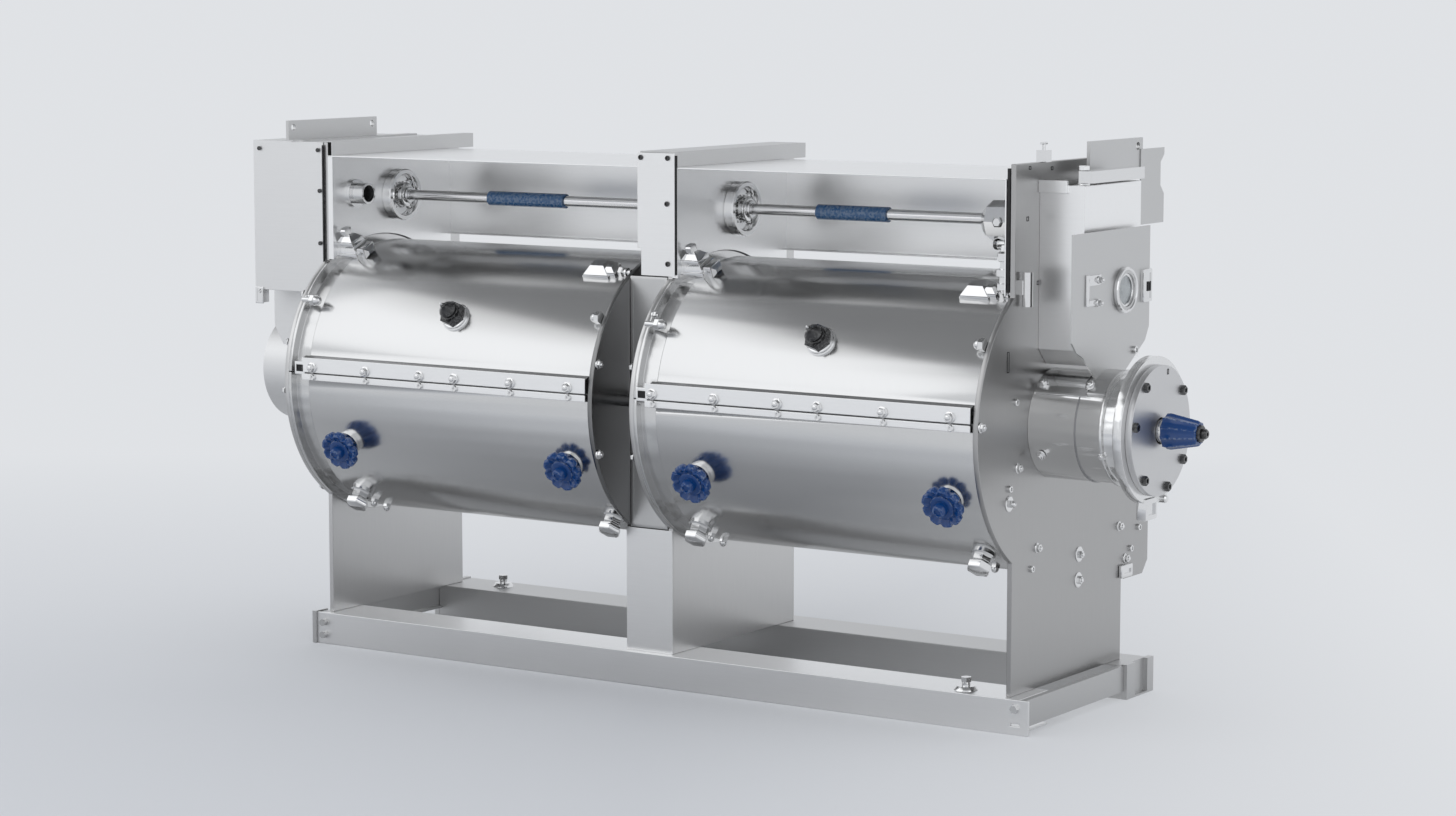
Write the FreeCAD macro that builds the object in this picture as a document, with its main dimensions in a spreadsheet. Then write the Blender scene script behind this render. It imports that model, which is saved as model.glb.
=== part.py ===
import FreeCAD, Part
import math
import os
import re
import Sketcher

# Double shaft mixer, in millimetres.  +X runs along the machine to the end with the
# blue cone, +Y is away from the operator, +Z is up.  The origin is the middle of the
# four foot bolts, at floor level.

SIZES = {
    # base rails
    "rail_overhang": 23,
    "rail_height": 75,
    "rail_depth": 130,
    "rail_wall": 6,
    "base_front": 275,
    "rear_rail_front": 180,
    "cross_inset": 8,
    "cross_lift": 18,
    "end_cap": 14,
    "foot_margin": 125,
    "foot_pitch_deep": 460,
    "foot_bore": 14,
    # end frames
    "frame_front": 255,
    "frame_back": 250,
    "cap_height": 34,
    "plate_thick": 12,
    "left_shift": 15,
    "drum_one_length": 858,
    "centre_gap": 100,
    "drum_two_length": 848,
    "disc_rim": 11,
    "spacer_inset": 110,
    "lobe_back": 380,
    "lobe_drop": 386,
    "lobe_neck": 262,
    "lobe_rise": 176,
    "lobe_reach": 306,
    # sheet metal
    "sheet": 3,
    "hood_clearance": 103,
    "hood_back": 198,
    "panel_below_floor": 28,
    "liner_stand_off": 14,
    "right_liner_gap": 10,
    "cap_back": 290,
    "post_width": 90,
    "cover_clearance": 5,
    "floor_clearance": 13,
    # rotor and drums
    "shaft_front": 76,
    "shaft_height": 640,
    "shaft_radius": 30,
    "journal_radius": 25,
    "drum_bore": 306,
    "neck_wall": 6,
    "drum_wall": 15,
    "neck_length": 52,
    "ring_thick": 8,
    "split_rise": 28,
    "gasket_thick": 2,
    "band_over": 39,
    "band_under": 18,
    "band_reach": 13,
    "transfer_bore": 100,
    "transfer_wall": 6,
    "fit": 0.05,
    "gap": 0.3,
    # paddles
    "paddle_clearance": 8,
    "paddle_arm_radius": 11,
    "paddle_hub_radius": 46,
    "paddle_hub_length": 44,
    "blade_height": 90,
    "blade_width": 110,
    "blade_thick": 8,
    "blade_tilt": 35,
    "paddles_per_drum": 6,
    # upper shaft
    "upper_front": 10,
    "shaft_clearance": 91,
    "upper_radius": 12.5,
    "flange_radius": 62,
    "sleeve_radius": 17,
    "sleeve_one_offset": 295,
    "sleeve_one_length": 220,
    "sleeve_two_offset": 229,
    "sleeve_two_length": 181,
    "block_length": 175,
    "block_radius": 46,
    "stub_front": 173,
    "stub_rise": 11,
    # drive
    "case_length": 215,
    "case_lift": 70,
    "case_back": 200,
    "housing_length": 240,
    "housing_clearance": 40,
    "housing_wall": 6,
    "input_length": 45,
    "input_radius": 20,
    "bearing_radius": 56,
    "lower_pulley_radius": 90,
    "upper_pulley_radius": 45,
    "pulley_offset": 156,
    "pulley_width": 44,
    "belt_width": 36,
    "belt_thick": 6,
    "guard_clearance": 24,
    "left_bar_offset": 98,
    "left_bar_front": 270,
    "left_bar_back": 60,
    "left_bar_height": 46,
    "left_eye_radius": 8,
    # right end
    "tube_radius": 118,
    "tube_wall": 6,
    "tube_length": 218,
    "ring_radius": 156,
    "end_ring_thick": 20,
    "cover_radius": 138,
    "cover_thick": 15,
    "cone_gap": 3,
    "cone_length": 86,
    "cone_base_radius": 40,
    "cone_nose_radius": 20,
    "tip_length": 18,
    "duct_front": 150,
    "duct_back": 110,
    "duct_length": 106,
    "duct_drop": 50,
    "duct_lift": 12,
    "guard_stand_off": 20,
    "guard_thick": 4,
    "guard_front": 245,
    "guard_back": 108,
    "guard_rise": 130,
    "guard_drop": 95,
    "window_rise": 285,
    "window_front": 13,
    "window_radius": 46,
    "latch_pin_radius": 7,
    "feed_sill": 13,
    "feed_height": 90,
    "right_bar_offset": 38,
    "right_eye_radius": 9,
    # fittings on the drums
    "port_angle": 204.5,
    "port_radius": 40,
    "stem_length": 24,
    "port_depth": 24,
    "stem_radius": 24,
    "gland_angle": 147.5,
    "top_angle": 112,
    "drain_angle": 236,
    "port_near_left": 147,
    "port_near_right": 73,
    "gland_shift": 21,
    "gland_radius": 31,
    "top_near_left": 41,
    "top_near_right": 75,
    "drain_left_one": 108,
    "drain_left_two": 85,
    "drain_right_one": 27,
    "drain_right_two": 52,
    "band_first_one": 74,
    "band_first_two": 52,
    "band_last": 52,
    "band_middle_gap": 100,
    "bolt_radius": 9,
    # discharge spout
    "spout_offset": 230,
    "spout_angle": 315,
    "spout_bore": 54,
    "spout_wall": 4,
    "spout_length": 79,
    "spout_flange": 10,
    "spout_rim": 26,
}

doc = FreeCAD.newDocument("double_shaft_mixer")
sheet = doc.addObject("Spreadsheet::Sheet", "sizes")
for row, (alias, value) in enumerate(SIZES.items(), start=1):
    sheet.set(f"A{row}", alias)
    sheet.set(f"B{row}", str(value))
    sheet.setAlias(f"B{row}", alias)
doc.recompute()

# Radii and heights that follow from the sizes
LEVELS = {
    "jacket_radius": "drum_bore + drum_wall",
    "neck_radius": "drum_bore + neck_wall",
    "disc_radius": "jacket_radius + disc_rim",
    "paddle_reach": "drum_bore - paddle_clearance",
    "port_start": "jacket_radius + stem_length",
    "spout_end": "jacket_radius + spout_length",
    "left_face": "(drum_one_length + centre_gap + drum_two_length) / 2 + 2 * plate_thick + left_shift",
    "base_length": "2 * (left_face + rail_overhang)",
    "foot_pitch_long": "base_length - 2 * foot_margin",
    "housing_radius": "lower_pulley_radius + housing_clearance",
    "guard_reach": "lower_pulley_radius + guard_clearance",
    "band_stand_off": "shaft_front + jacket_radius + band_reach",
    "split_height": "shaft_height + split_rise",
    "band_top": "split_height + band_over",
    "band_bottom": "split_height - band_under",
    "disc_at_front": "sqrt(disc_radius ^ 2 - (frame_front - shaft_front) ^ 2)",
    "leg_cover_top": "shaft_height - disc_at_front - cover_clearance",
    "post_bottom": "shaft_height + disc_at_front + cover_clearance",
    "post_floor": "shaft_height + disc_radius + floor_clearance",
    "hood_panel_bottom": "post_floor - panel_below_floor",
    "upper_height": "shaft_height + disc_radius + shaft_clearance",
    "stub_height": "upper_height + stub_rise",
    "hood_top": "upper_height + hood_clearance",
    "frame_top": "hood_top + cap_height",
    "liner_back": "hood_back - sheet",
    "case_bottom": "shaft_height + housing_radius + case_lift",
    "duct_top": "frame_top - duct_drop",
    "duct_bottom": "shaft_height + tube_radius + duct_lift",
    "feed_low": "duct_bottom + feed_sill",
    "feed_high": "feed_low + feed_height",
    "window_height": "shaft_height + window_rise",
    "guard_top": "window_height + guard_rise",
    "guard_shoulder": "window_height - guard_drop",
    "lobe_bottom": "shaft_height - lobe_drop",
    "lobe_shoulder": "lobe_bottom + lobe_rise",
    "lobe_root": "lobe_bottom + lobe_reach",
}

# Planes along X that the pieces share
LEFT_OUT = "(-left_face)"
LEFT_IN = f"({LEFT_OUT} + plate_thick)"
MID_ONE_IN = f"({LEFT_IN} + drum_one_length)"
MID_ONE_OUT = f"({MID_ONE_IN} + plate_thick)"
MID_TWO_OUT = f"({MID_ONE_OUT} + centre_gap)"
MID_TWO_IN = f"({MID_TWO_OUT} + plate_thick)"
RIGHT_IN = f"({MID_TWO_IN} + drum_two_length)"
RIGHT_OUT = f"({RIGHT_IN} + plate_thick)"
SHAFT = ("-shaft_front", "shaft_height")
UPPER = ("-upper_front", "upper_height")
CASE_LEFT = f"({LEFT_OUT} - case_length)"
HOUSING_LEFT = f"({LEFT_OUT} - housing_length)"
PULLEY = f"({LEFT_OUT} - pulley_offset)"
TUBE_END = f"({RIGHT_OUT} + tube_length)"
RING_END = f"({TUBE_END} + end_ring_thick)"
COVER_END = f"({RING_END} + cover_thick)"
CONE_START = f"({COVER_END} + cone_gap)"
CONE_END = f"({CONE_START} + cone_length)"
DUCT_END = f"({RIGHT_OUT} + duct_length)"
GUARD = f"({DUCT_END} + guard_stand_off)"
POST_LEFT = f"({MID_TWO_OUT} - post_width + 10)"
LATCH = (f"{DUCT_END} - 16", "-duct_front + 26")
DRUMS = {"one": (LEFT_IN, MID_ONE_IN), "two": (MID_TWO_IN, RIGHT_IN)}

SPOUT_X = f"{LEFT_IN} + spout_offset"

# Where the fittings stand along each drum
SPOTS = {
    "port": (
        f"{LEFT_IN} + port_near_left", f"{MID_ONE_IN} - port_near_right",
        f"{MID_TWO_IN} + port_near_left", f"{RIGHT_IN} - port_near_right",
    ),
    "gland": (
        f"({LEFT_IN} + {MID_ONE_IN}) / 2 + gland_shift",
        f"({MID_TWO_IN} + {RIGHT_IN}) / 2 + gland_shift",
    ),
    "top": (
        f"{LEFT_IN} + top_near_left", f"{MID_ONE_IN} - top_near_right",
        f"{MID_TWO_IN} + top_near_left", f"{RIGHT_IN} - top_near_right",
    ),
    "drain": (
        f"{LEFT_IN} + drain_left_one", f"{MID_ONE_IN} - drain_right_one",
        f"{MID_TWO_IN} + drain_left_two", f"{RIGHT_IN} - drain_right_two",
    ),
}

nodes = {}
used_names = {}


def bound(formula):
    """The formula with its levels spelled out and each size written as a cell of the sheet."""
    def spelled(word):
        if word[0] in LEVELS:
            return f"({bound(LEVELS[word[0]])})"
        return f"sizes.{word[0]}" if word[0] in SIZES else word[0]
    return re.sub(r"(?<![.\w])[a-z][a-z_]*", spelled, str(formula))


def amount(formula):
    """What a formula comes to now."""
    return float(sheet.evalExpression(bound(formula).replace("sizes.", "")))


def fresh(name):
    """A name that no other object of the document has."""
    used_names[name] = used_names.get(name, 0) + 1
    return f"{name}_{used_names[name]}"


def place(thing, x, y, z, axis=None, angle=0):
    """Put a piece at a point given by three formulas, turned about an axis."""
    if axis:
        turn = FreeCAD.Rotation(FreeCAD.Vector(*axis), angle)
        thing.Placement = FreeCAD.Placement(FreeCAD.Vector(), turn)
    thing.setExpression("Placement.Base.x", bound(x))
    thing.setExpression("Placement.Base.y", bound(y))
    thing.setExpression("Placement.Base.z", bound(z))
    return thing


def block(name, x, y, z):
    """A block between two values on each axis."""
    thing = doc.addObject("Part::Box", fresh(name))
    for side, (low, high) in zip(("Length", "Width", "Height"), (x, y, z)):
        thing.setExpression(side, bound(f"({high}) - ({low})"))
    return place(thing, x[0], y[0], z[0])


TURNS = {"x": ((0, 1, 0), 90), "y": ((1, 0, 0), -90), "z": ((0, 0, 1), 0)}


def along(axis, start, centre):
    """The point on a line along an axis: its start, and where it stands across it."""
    if axis == "x":
        return start, centre[0], centre[1]
    if axis == "y":
        return centre[0], start, centre[1]
    return centre[0], centre[1], start


def rod(name, axis, span, radius, centre):
    """A round bar along an axis."""
    thing = doc.addObject("Part::Cylinder", fresh(name))
    thing.setExpression("Radius", bound(radius))
    thing.setExpression("Height", bound(f"({span[1]}) - ({span[0]})"))
    turn_axis, angle = TURNS[axis]
    return place(thing, *along(axis, span[0], centre), turn_axis, angle)


def taper(name, axis, span, radii, centre):
    """A cone frustum along an axis."""
    thing = doc.addObject("Part::Cone", fresh(name))
    thing.setExpression("Radius1", bound(radii[0]))
    thing.setExpression("Radius2", bound(radii[1]))
    thing.setExpression("Height", bound(f"({span[1]}) - ({span[0]})"))
    turn_axis, angle = TURNS[axis]
    return place(thing, *along(axis, span[0], centre), turn_axis, angle)


def hexagon(name, axis, span, radius, centre):
    """A six-sided bar along an axis, such as a bolt head."""
    thing = doc.addObject("Part::Prism", fresh(name))
    thing.Polygon = 6
    thing.setExpression("Circumradius", bound(radius))
    thing.setExpression("Height", bound(f"({span[1]}) - ({span[0]})"))
    turn_axis, angle = TURNS[axis]
    return place(thing, *along(axis, span[0], centre), turn_axis, angle)


def spoke(name, kind, x, angle, span, radius):
    """A bar that stands out from the rotor's axis; the angle is taken from +Y to +Z."""
    kinds = {"round": "Part::Cylinder", "hex": "Part::Prism", "cone": "Part::Cone"}
    thing = doc.addObject(kinds[kind], fresh(name))
    if kind == "cone":
        thing.setExpression("Radius1", bound(radius[0]))
        thing.setExpression("Radius2", bound(radius[1]))
    else:
        thing.setExpression("Radius" if kind == "round" else "Circumradius", bound(radius))
    thing.setExpression("Height", bound(f"({span[1]}) - ({span[0]})"))
    y = f"-shaft_front + ({span[0]}) * cos(({angle}) * 1 deg)"
    z = f"shaft_height + ({span[0]}) * sin(({angle}) * 1 deg)"
    return place(thing, x, y, z, (1, 0, 0), amount(angle) - 90)


def brick(name, x, angle, span, width):
    """A block that stands out from the rotor's axis, between two values of X."""
    thing = doc.addObject("Part::Box", fresh(name))
    thing.setExpression("Length", bound(f"({x[1]}) - ({x[0]})"))
    thing.setExpression("Width", bound(width))
    thing.setExpression("Height", bound(f"({span[1]}) - ({span[0]})"))
    turn = f"({angle}) * 1 deg"
    y = f"-shaft_front + ({span[0]}) * cos({turn}) - ({width}) / 2 * sin({turn})"
    z = f"shaft_height + ({span[0]}) * sin({turn}) + ({width}) / 2 * cos({turn})"
    return place(thing, x[0], y, z, (1, 0, 0), amount(angle) - 90)


def fused(name, pieces):
    thing = doc.addObject("Part::MultiFuse", fresh(name))
    thing.Shapes = pieces
    return thing


def together(name, pieces):
    thing = doc.addObject("Part::Compound", fresh(name))
    thing.Links = pieces
    return thing


def cut(name, base, tools):
    """A piece with one or more tools taken out of it."""
    tool = tools[0] if len(tools) == 1 else together(f"{name}_tools", tools)
    thing = doc.addObject("Part::Cut", fresh(name))
    thing.Base = base
    thing.Tool = tool
    return thing


def common(name, first, second):
    thing = doc.addObject("Part::MultiCommon", fresh(name))
    thing.Shapes = [first, second]
    return thing


def outline(body, role, points):
    """A closed outline of straight edges on one of the body's own planes."""
    sketch = body.newObject("Sketcher::SketchObject", fresh("outline"))
    plane = [item for item in body.Origin.OriginFeatures if item.Role == role][0]
    sketch.AttachmentSupport = [(plane, "")]
    sketch.MapMode = "FlatFace"
    corners = [FreeCAD.Vector(amount(across), amount(up), 0) for across, up in points]
    for index, corner in enumerate(corners):
        following = corners[(index + 1) % len(corners)]
        sketch.addGeometry(Part.LineSegment(corner, following), False)
    for index in range(len(corners)):
        following = (index + 1) % len(corners)
        sketch.addConstraint(Sketcher.Constraint("Coincident", index, 2, following, 1))
    for index, (across, up) in enumerate(points):
        for kind, formula in (("DistanceX", across), ("DistanceY", up)):
            constraint = Sketcher.Constraint(kind, -1, 1, index, 1, amount(formula))
            number = sketch.addConstraint(constraint)
            sketch.setExpression(f"Constraints[{number}]", bound(formula))
    return sketch


def padded(name, role, points, length, at=("0", "0", "0")):
    """A flat outline given a thickness, in the direction of the plane's third axis."""
    body = doc.addObject("PartDesign::Body", fresh(name))
    sketch = outline(body, role, points)
    pad = body.newObject("PartDesign::Pad", fresh("pad"))
    pad.Profile = sketch
    pad.setExpression("Length", bound(length))
    pad.Reversed = role == "XZ_Plane"
    return place(body, *at)


def turned(name, points, centre=SHAFT):
    """A profile of (X, radius) points turned about a line along X."""
    body = doc.addObject("PartDesign::Body", fresh(name))
    sketch = outline(body, "XZ_Plane", points)
    turn = body.newObject("PartDesign::Revolution", fresh("turn"))
    turn.Profile = sketch
    turn.ReferenceAxis = (sketch, ["H_Axis"])
    turn.Angle = 360
    return place(body, "0", *centre)


def ring(name, span, inner, outer, centre=SHAFT):
    """A plain ring about a line along X."""
    start, end = span
    return turned(name, [(start, inner), (end, inner), (end, outer), (start, outer)], centre)


def saddle(name, span, radii, angles):
    """A curved plate round the bearing tube, between two angles on the tube's upper side."""
    sheet_ring = ring(name, span, *radii)
    far = [polar("2 * tube_radius", angle) for angle in angles]
    wedge = padded("wedge", "YZ_Plane", [SHAFT] + far, f"({span[1]}) - ({span[0]})", (span[0], "0", "0"))
    return common(name, sheet_ring, wedge)


def node(name, thing):
    """Register a finished sub-part under the name of its file."""
    thing.Label = name
    nodes[name] = thing
    return thing


def bolt(axis, seat, sense, centre, radius="bolt_radius", head=7):
    """A hexagon head on a washer, seated on a face, pointing along an axis."""
    washer_top = f"({seat}) + {sense} * 1.6"
    head_top = f"({washer_top}) + {sense} * ({head})"
    washer_span = (seat, washer_top) if sense > 0 else (washer_top, seat)
    head_span = (washer_top, head_top) if sense > 0 else (head_top, washer_top)
    washer = rod("washer", axis, washer_span, f"({radius}) * 1.15", centre)
    return fused("bolt", [washer, hexagon("head", axis, head_span, radius, centre)])


def polar(radius, angle):
    """Y and Z of a point at a radius and angle about the rotor's axis."""
    y = f"-shaft_front + ({radius}) * cos(({angle}) * 1 deg)"
    z = f"shaft_height + ({radius}) * sin(({angle}) * 1 deg)"
    return y, z


def make_base():
    """Two channel rails, joined at their ends by shallower cross rails."""
    half = "base_length / 2"
    for name, front in (("front_rail", "-base_front"), ("rear_rail", "rear_rail_front")):
        back = f"{front} + rail_depth"
        section = [
            (front, "0"), (back, "0"), (back, "rail_wall"), (f"{front} + rail_wall", "rail_wall"),
            (f"{front} + rail_wall", "rail_height - rail_wall"), (back, "rail_height - rail_wall"),
            (back, "rail_height"), (front, "rail_height"),
        ]
        trim = "0" if name == "front_rail" else "end_cap"
        start = f"{trim} - {half}"
        rail = padded(name, "YZ_Plane", section, f"base_length - 2 * {trim}", (start, "0", "0"))
        row = "-foot_pitch_deep / 2" if name == "front_rail" else "foot_pitch_deep / 2"
        tools = []
        for side in (-1, 1):
            foot = f"{side} * foot_pitch_long / 2"
            tools.append(rod("foot_hole", "z", ("-1", "rail_wall + 1"), "foot_bore / 2", (foot, row)))
            if name == "front_rail":
                notch = (f"{side} * ({half} - cross_inset - 16)", f"{side} * ({half} + 1)")
                flange = (f"{front} + rail_wall", f"{back} + 1")
                ends = sorted(notch, key=amount)
                tools.append(block("end_notch", ends, flange, ("-1", "rail_height + 1")))
        if name == "front_rail":
            slot_x = (f"{half} - 43", f"{half} - 21")
            slot_y = (f"{front} - 1", f"{front} + rail_wall + 1")
            tools.append(block("slot", slot_x, slot_y, ("18", "24")))
        node(name, cut(name, rail, tools))
    crosses = []
    for side in (-1, 1):
        face = f"({half} - cross_inset)"
        web = sorted((f"{side} * {face}", f"{side} * ({face} - rail_wall)"), key=amount)
        deep = sorted((f"{side} * {face}", f"{side} * ({face} - 15.7)"), key=amount)
        run = ("-base_front + rail_wall", "rear_rail_front")
        under = block("under", deep, run, ("cross_lift", "cross_lift + rail_wall"))
        top = block("top", deep, run, ("rail_height - rail_wall", "rail_height"))
        wall = block("wall", web, run, ("cross_lift", "rail_height"))
        crosses.append(fused("cross", [under, top, wall]))
    node("cross_rails", together("cross_rails", crosses))


def make_corners():
    """End brackets on three corners, and the hold-down clamps on the rails."""
    half = "base_length / 2"
    brackets = []
    for side in (-1, 1):
        span = sorted((f"{side} * ({half} - end_cap)", f"{side} * {half}"), key=amount)
        deep = ("rear_rail_front", "rear_rail_front + rail_depth")
        cap = block("cap", span, deep, ("0", "rail_height + 3"))
        hollow_x = sorted((f"{side} * ({half} - end_cap + 4)", f"{side} * ({half} + 1)"), key=amount)
        hollow = block("hollow", hollow_x, (f"{deep[0]} + 40", f"{deep[1]} - 30"), ("4", "rail_height + 4"))
        brackets.append(cut("bracket", cap, [hollow]))
    front_cap = block("cap", (f"-{half} - 10", f"-{half}"), ("-base_front - 6", "-base_front + 40"),
                      ("0", "rail_height + 2"))
    front_hollow = block("hollow", (f"-{half} - 11", f"-{half} - 4"),
                         ("-base_front - 2", "-base_front + 41"),
                         ("-1", "rail_height + 3"))
    brackets.append(cut("front_bracket", front_cap, [front_hollow]))
    for height in ("22", "52"):
        brackets.append(rod("stub", "y", ("-base_front - 12", "-base_front"), "8",
                            (f"-{half} + 24", height)))
    node("corner_brackets", together("corner_brackets", brackets))
    clamps = []
    for x, y in ((f"159 - {half}", "rear_rail_front + 74"), (f"{half} - 172", "-base_front + 40")):
        dish = taper("dish", "z", ("rail_height", "rail_height + 9"), ("26", "20"), (x, y))
        neck = rod("neck", "z", ("rail_height + 9", "rail_height + 18"), "9", (x, y))
        nut = hexagon("nut", "z", ("rail_height + 18", "rail_height + 28"), "12", (x, y))
        clamps.append(fused("clamp", [dish, neck, nut]))
    clamps.append(bolt("y", "-base_front", -1, (f"{half} - 32", "56")))
    node("hold_down_clamps", together("hold_down_clamps", clamps))


def upright(name, start, top="frame_top - sheet"):
    """The rectangle of an end frame, from the rails to its top."""
    corners = [
        ("-frame_front", "rail_height"), ("frame_back", "rail_height"), ("frame_back", top),
        ("-frame_front", top),
    ]
    return padded(name, "YZ_Plane", corners, "plate_thick", (start, "0", "0"))


def make_frames():
    """Four end plates: each a leg, a round disc that closes a drum, and an upright."""
    def disc(start):
        return rod("disc", "x", (start, f"{start} + plate_thick"), "disc_radius", SHAFT)

    def bore(start, radius, centre=SHAFT):
        return rod("bore", "x", (f"{start} - 1", f"{start} + plate_thick + 1"), radius, centre)

    plate = fused("left_plate", [upright("left_upright", LEFT_OUT), disc(LEFT_OUT)])
    holes = [bore(LEFT_OUT, "shaft_radius + 3"), bore(LEFT_OUT, "upper_radius + 3", UPPER)]
    plate = cut("left_plate", plate, holes)
    hub = ring("hub", (f"{LEFT_OUT} - 34", LEFT_OUT), "shaft_radius + 22", "shaft_radius + 34")
    node("left_end_plate", fused("left_end_plate", [plate, hub]))

    plate = fused("mid_plate", [upright("mid_upright", MID_ONE_IN, "shaft_height"), disc(MID_ONE_IN)])
    node("mid_plate_one", cut("mid_plate_one", plate, [bore(MID_ONE_IN, "transfer_bore")]))

    plate = fused("mid_plate", [upright("mid_upright", MID_TWO_OUT), disc(MID_TWO_OUT)])
    node("mid_plate_two", cut("mid_plate_two", plate, [
        bore(MID_TWO_OUT, "transfer_bore"), bore(MID_TWO_OUT, "upper_radius + 3", UPPER)]))

    lobe = padded("lobe", "YZ_Plane", [
        ("frame_back - 20", "lobe_bottom + 24"), ("lobe_neck", "lobe_bottom + 24"),
        ("lobe_neck", "lobe_bottom"),
        ("lobe_back - 26", "lobe_bottom"), ("lobe_back", "lobe_bottom + 30"),
        ("lobe_back", "lobe_shoulder"),
        ("lobe_back - 80", "lobe_root"), ("frame_back - 20", "lobe_root + 40"),
    ], "plate_thick", (RIGHT_IN, "0", "0"))
    plate = fused("right_plate", [upright("right_upright", RIGHT_IN), disc(RIGHT_IN), lobe])
    feed = block("feed", (f"{RIGHT_IN} - 1", f"{RIGHT_OUT} + 1"), ("-duct_front + 20", "0"),
                 ("feed_low", "feed_high"))
    node("right_end_plate", cut("right_end_plate", plate, [
        bore(RIGHT_IN, "shaft_radius + 3"), feed]))

    spacers = []
    for angle in (20, 55, 90, 125, 178, 235, 305, 340):
        spacers.append(rod("spacer", "x", (MID_ONE_OUT, MID_TWO_OUT), "14",
                           polar("disc_radius - spacer_inset", angle)))
    between = (MID_ONE_OUT, MID_TWO_OUT)
    spacers.append(ring("transfer_tube", between, "transfer_bore", "transfer_bore + transfer_wall"))
    node("disc_spacers", together("disc_spacers", spacers))


def make_cladding():
    """Hoods over the drums, liners on the plates, the centre post and the caps."""
    spans = {
        "hood_one": (LEFT_IN, POST_LEFT),
        "hood_two": (MID_TWO_IN, f"{RIGHT_IN} - right_liner_gap"),
    }
    hems = {
        "hood_one": (f"{LEFT_IN} + liner_stand_off", POST_LEFT),
        "hood_two": (f"{MID_TWO_IN} + liner_stand_off", f"{RIGHT_IN} - right_liner_gap - sheet"),
    }
    for name, span in spans.items():
        top = block("top", span, ("-frame_front", "hood_back"), ("hood_top - sheet", "hood_top"))
        back = block("back", span, ("hood_back - sheet", "hood_back"), ("hood_panel_bottom", "hood_top"))
        hem_z = ("hood_panel_bottom", "hood_panel_bottom + sheet")
        hem = block("hem", hems[name], ("hood_back - 18", "hood_back"), hem_z)
        node(name, fused(name, [top, back, hem]))

    liners = []
    for start, depth in ((LEFT_IN, "liner_stand_off"), (MID_TWO_IN, "liner_stand_off")):
        y = ("-frame_front", "liner_back")
        z = ("shaft_height + 150", "hood_top - sheet")
        outer = block("liner", (start, f"{start} + {depth}"), y, z)
        inner = block("inside", (f"{start} - 1", f"{start} + {depth} - sheet"),
                      ("-frame_front + sheet", "liner_back - sheet"),
                      ("shaft_height", "hood_top - 2 * sheet"))
        round_cut = rod("round_cut", "x", (f"{start} - 1", f"{start} + 60"), "disc_radius + 1.5", SHAFT)
        hole = rod("hole", "x", (f"{start} - 1", f"{start} + 60"), "upper_radius + 3", UPPER)
        liners.append(cut("liner", outer, [inner, round_cut, hole]))
    right_face = f"({RIGHT_IN} - right_liner_gap)"
    panel = block("liner", (f"{right_face} - sheet", right_face), ("-frame_front", "liner_back"),
                  ("shaft_height + 150", "hood_top - sheet"))
    pads = [rod("pad", "x", (right_face, RIGHT_IN), "10", spot) for spot in
            (("-frame_front + 30", "hood_top - 30"), ("liner_back - 30", "hood_top - 30"),
             ("liner_back - 30", "hood_top - 226"))]
    round_cut = rod("round_cut", "x", (f"{right_face} - 60", RIGHT_IN), "disc_radius + 1.5", SHAFT)
    liners.append(cut("liner", fused("liner", [panel] + pads), [round_cut]))
    node("liners", together("liners", liners))

    face = ("-frame_front - sheet", "-frame_front")
    deep = ("-frame_front", "hood_back")
    tall = ("post_floor", "frame_top - sheet")
    front = block("front", (f"{POST_LEFT} + 10", f"{POST_LEFT} + 10 + post_width"), face,
                  ("post_bottom", "frame_top - sheet"))
    side = block("side", (POST_LEFT, f"{POST_LEFT} + sheet"), deep, tall)
    lap = block("lap", (POST_LEFT, f"{POST_LEFT} + 14"), ("-frame_front - sheet", "-frame_front + sheet"),
                tall)
    floor = block("floor", (POST_LEFT, MID_TWO_OUT), deep, ("post_floor", "post_floor + sheet"))
    hole = rod("hole", "x", (f"{POST_LEFT} - 1", f"{POST_LEFT} + 10"), "upper_radius + 3", UPPER)
    node("centre_post", cut("centre_post", fused("post", [front, side, lap, floor]), [hole]))

    low = ("rail_height", "leg_cover_top")
    cover = block("cover", (MID_ONE_IN, MID_TWO_IN), face, low)
    back = block("back", (MID_ONE_IN, MID_TWO_IN), ("frame_back", "frame_back + sheet"), low)
    node("leg_covers", together("leg_covers", [cover, back]))

    caps = []
    left_cap = (f"{LEFT_OUT} - sheet", f"{LEFT_IN} + liner_stand_off")
    middle_cap = (f"{POST_LEFT} + 6", f"{MID_TWO_IN} + 6")
    for x in (left_cap, middle_cap):
        run = ("-frame_front", "cap_back")
        top = block("cap_top", x, run, ("frame_top - sheet", "frame_top"))
        flange = block("cap_flange", (f"{x[1]} - sheet", x[1]), run, ("hood_top", "frame_top"))
        caps.append(fused("cap", [top, flange]))
    node("cap_channels", together("cap_channels", caps))


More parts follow.
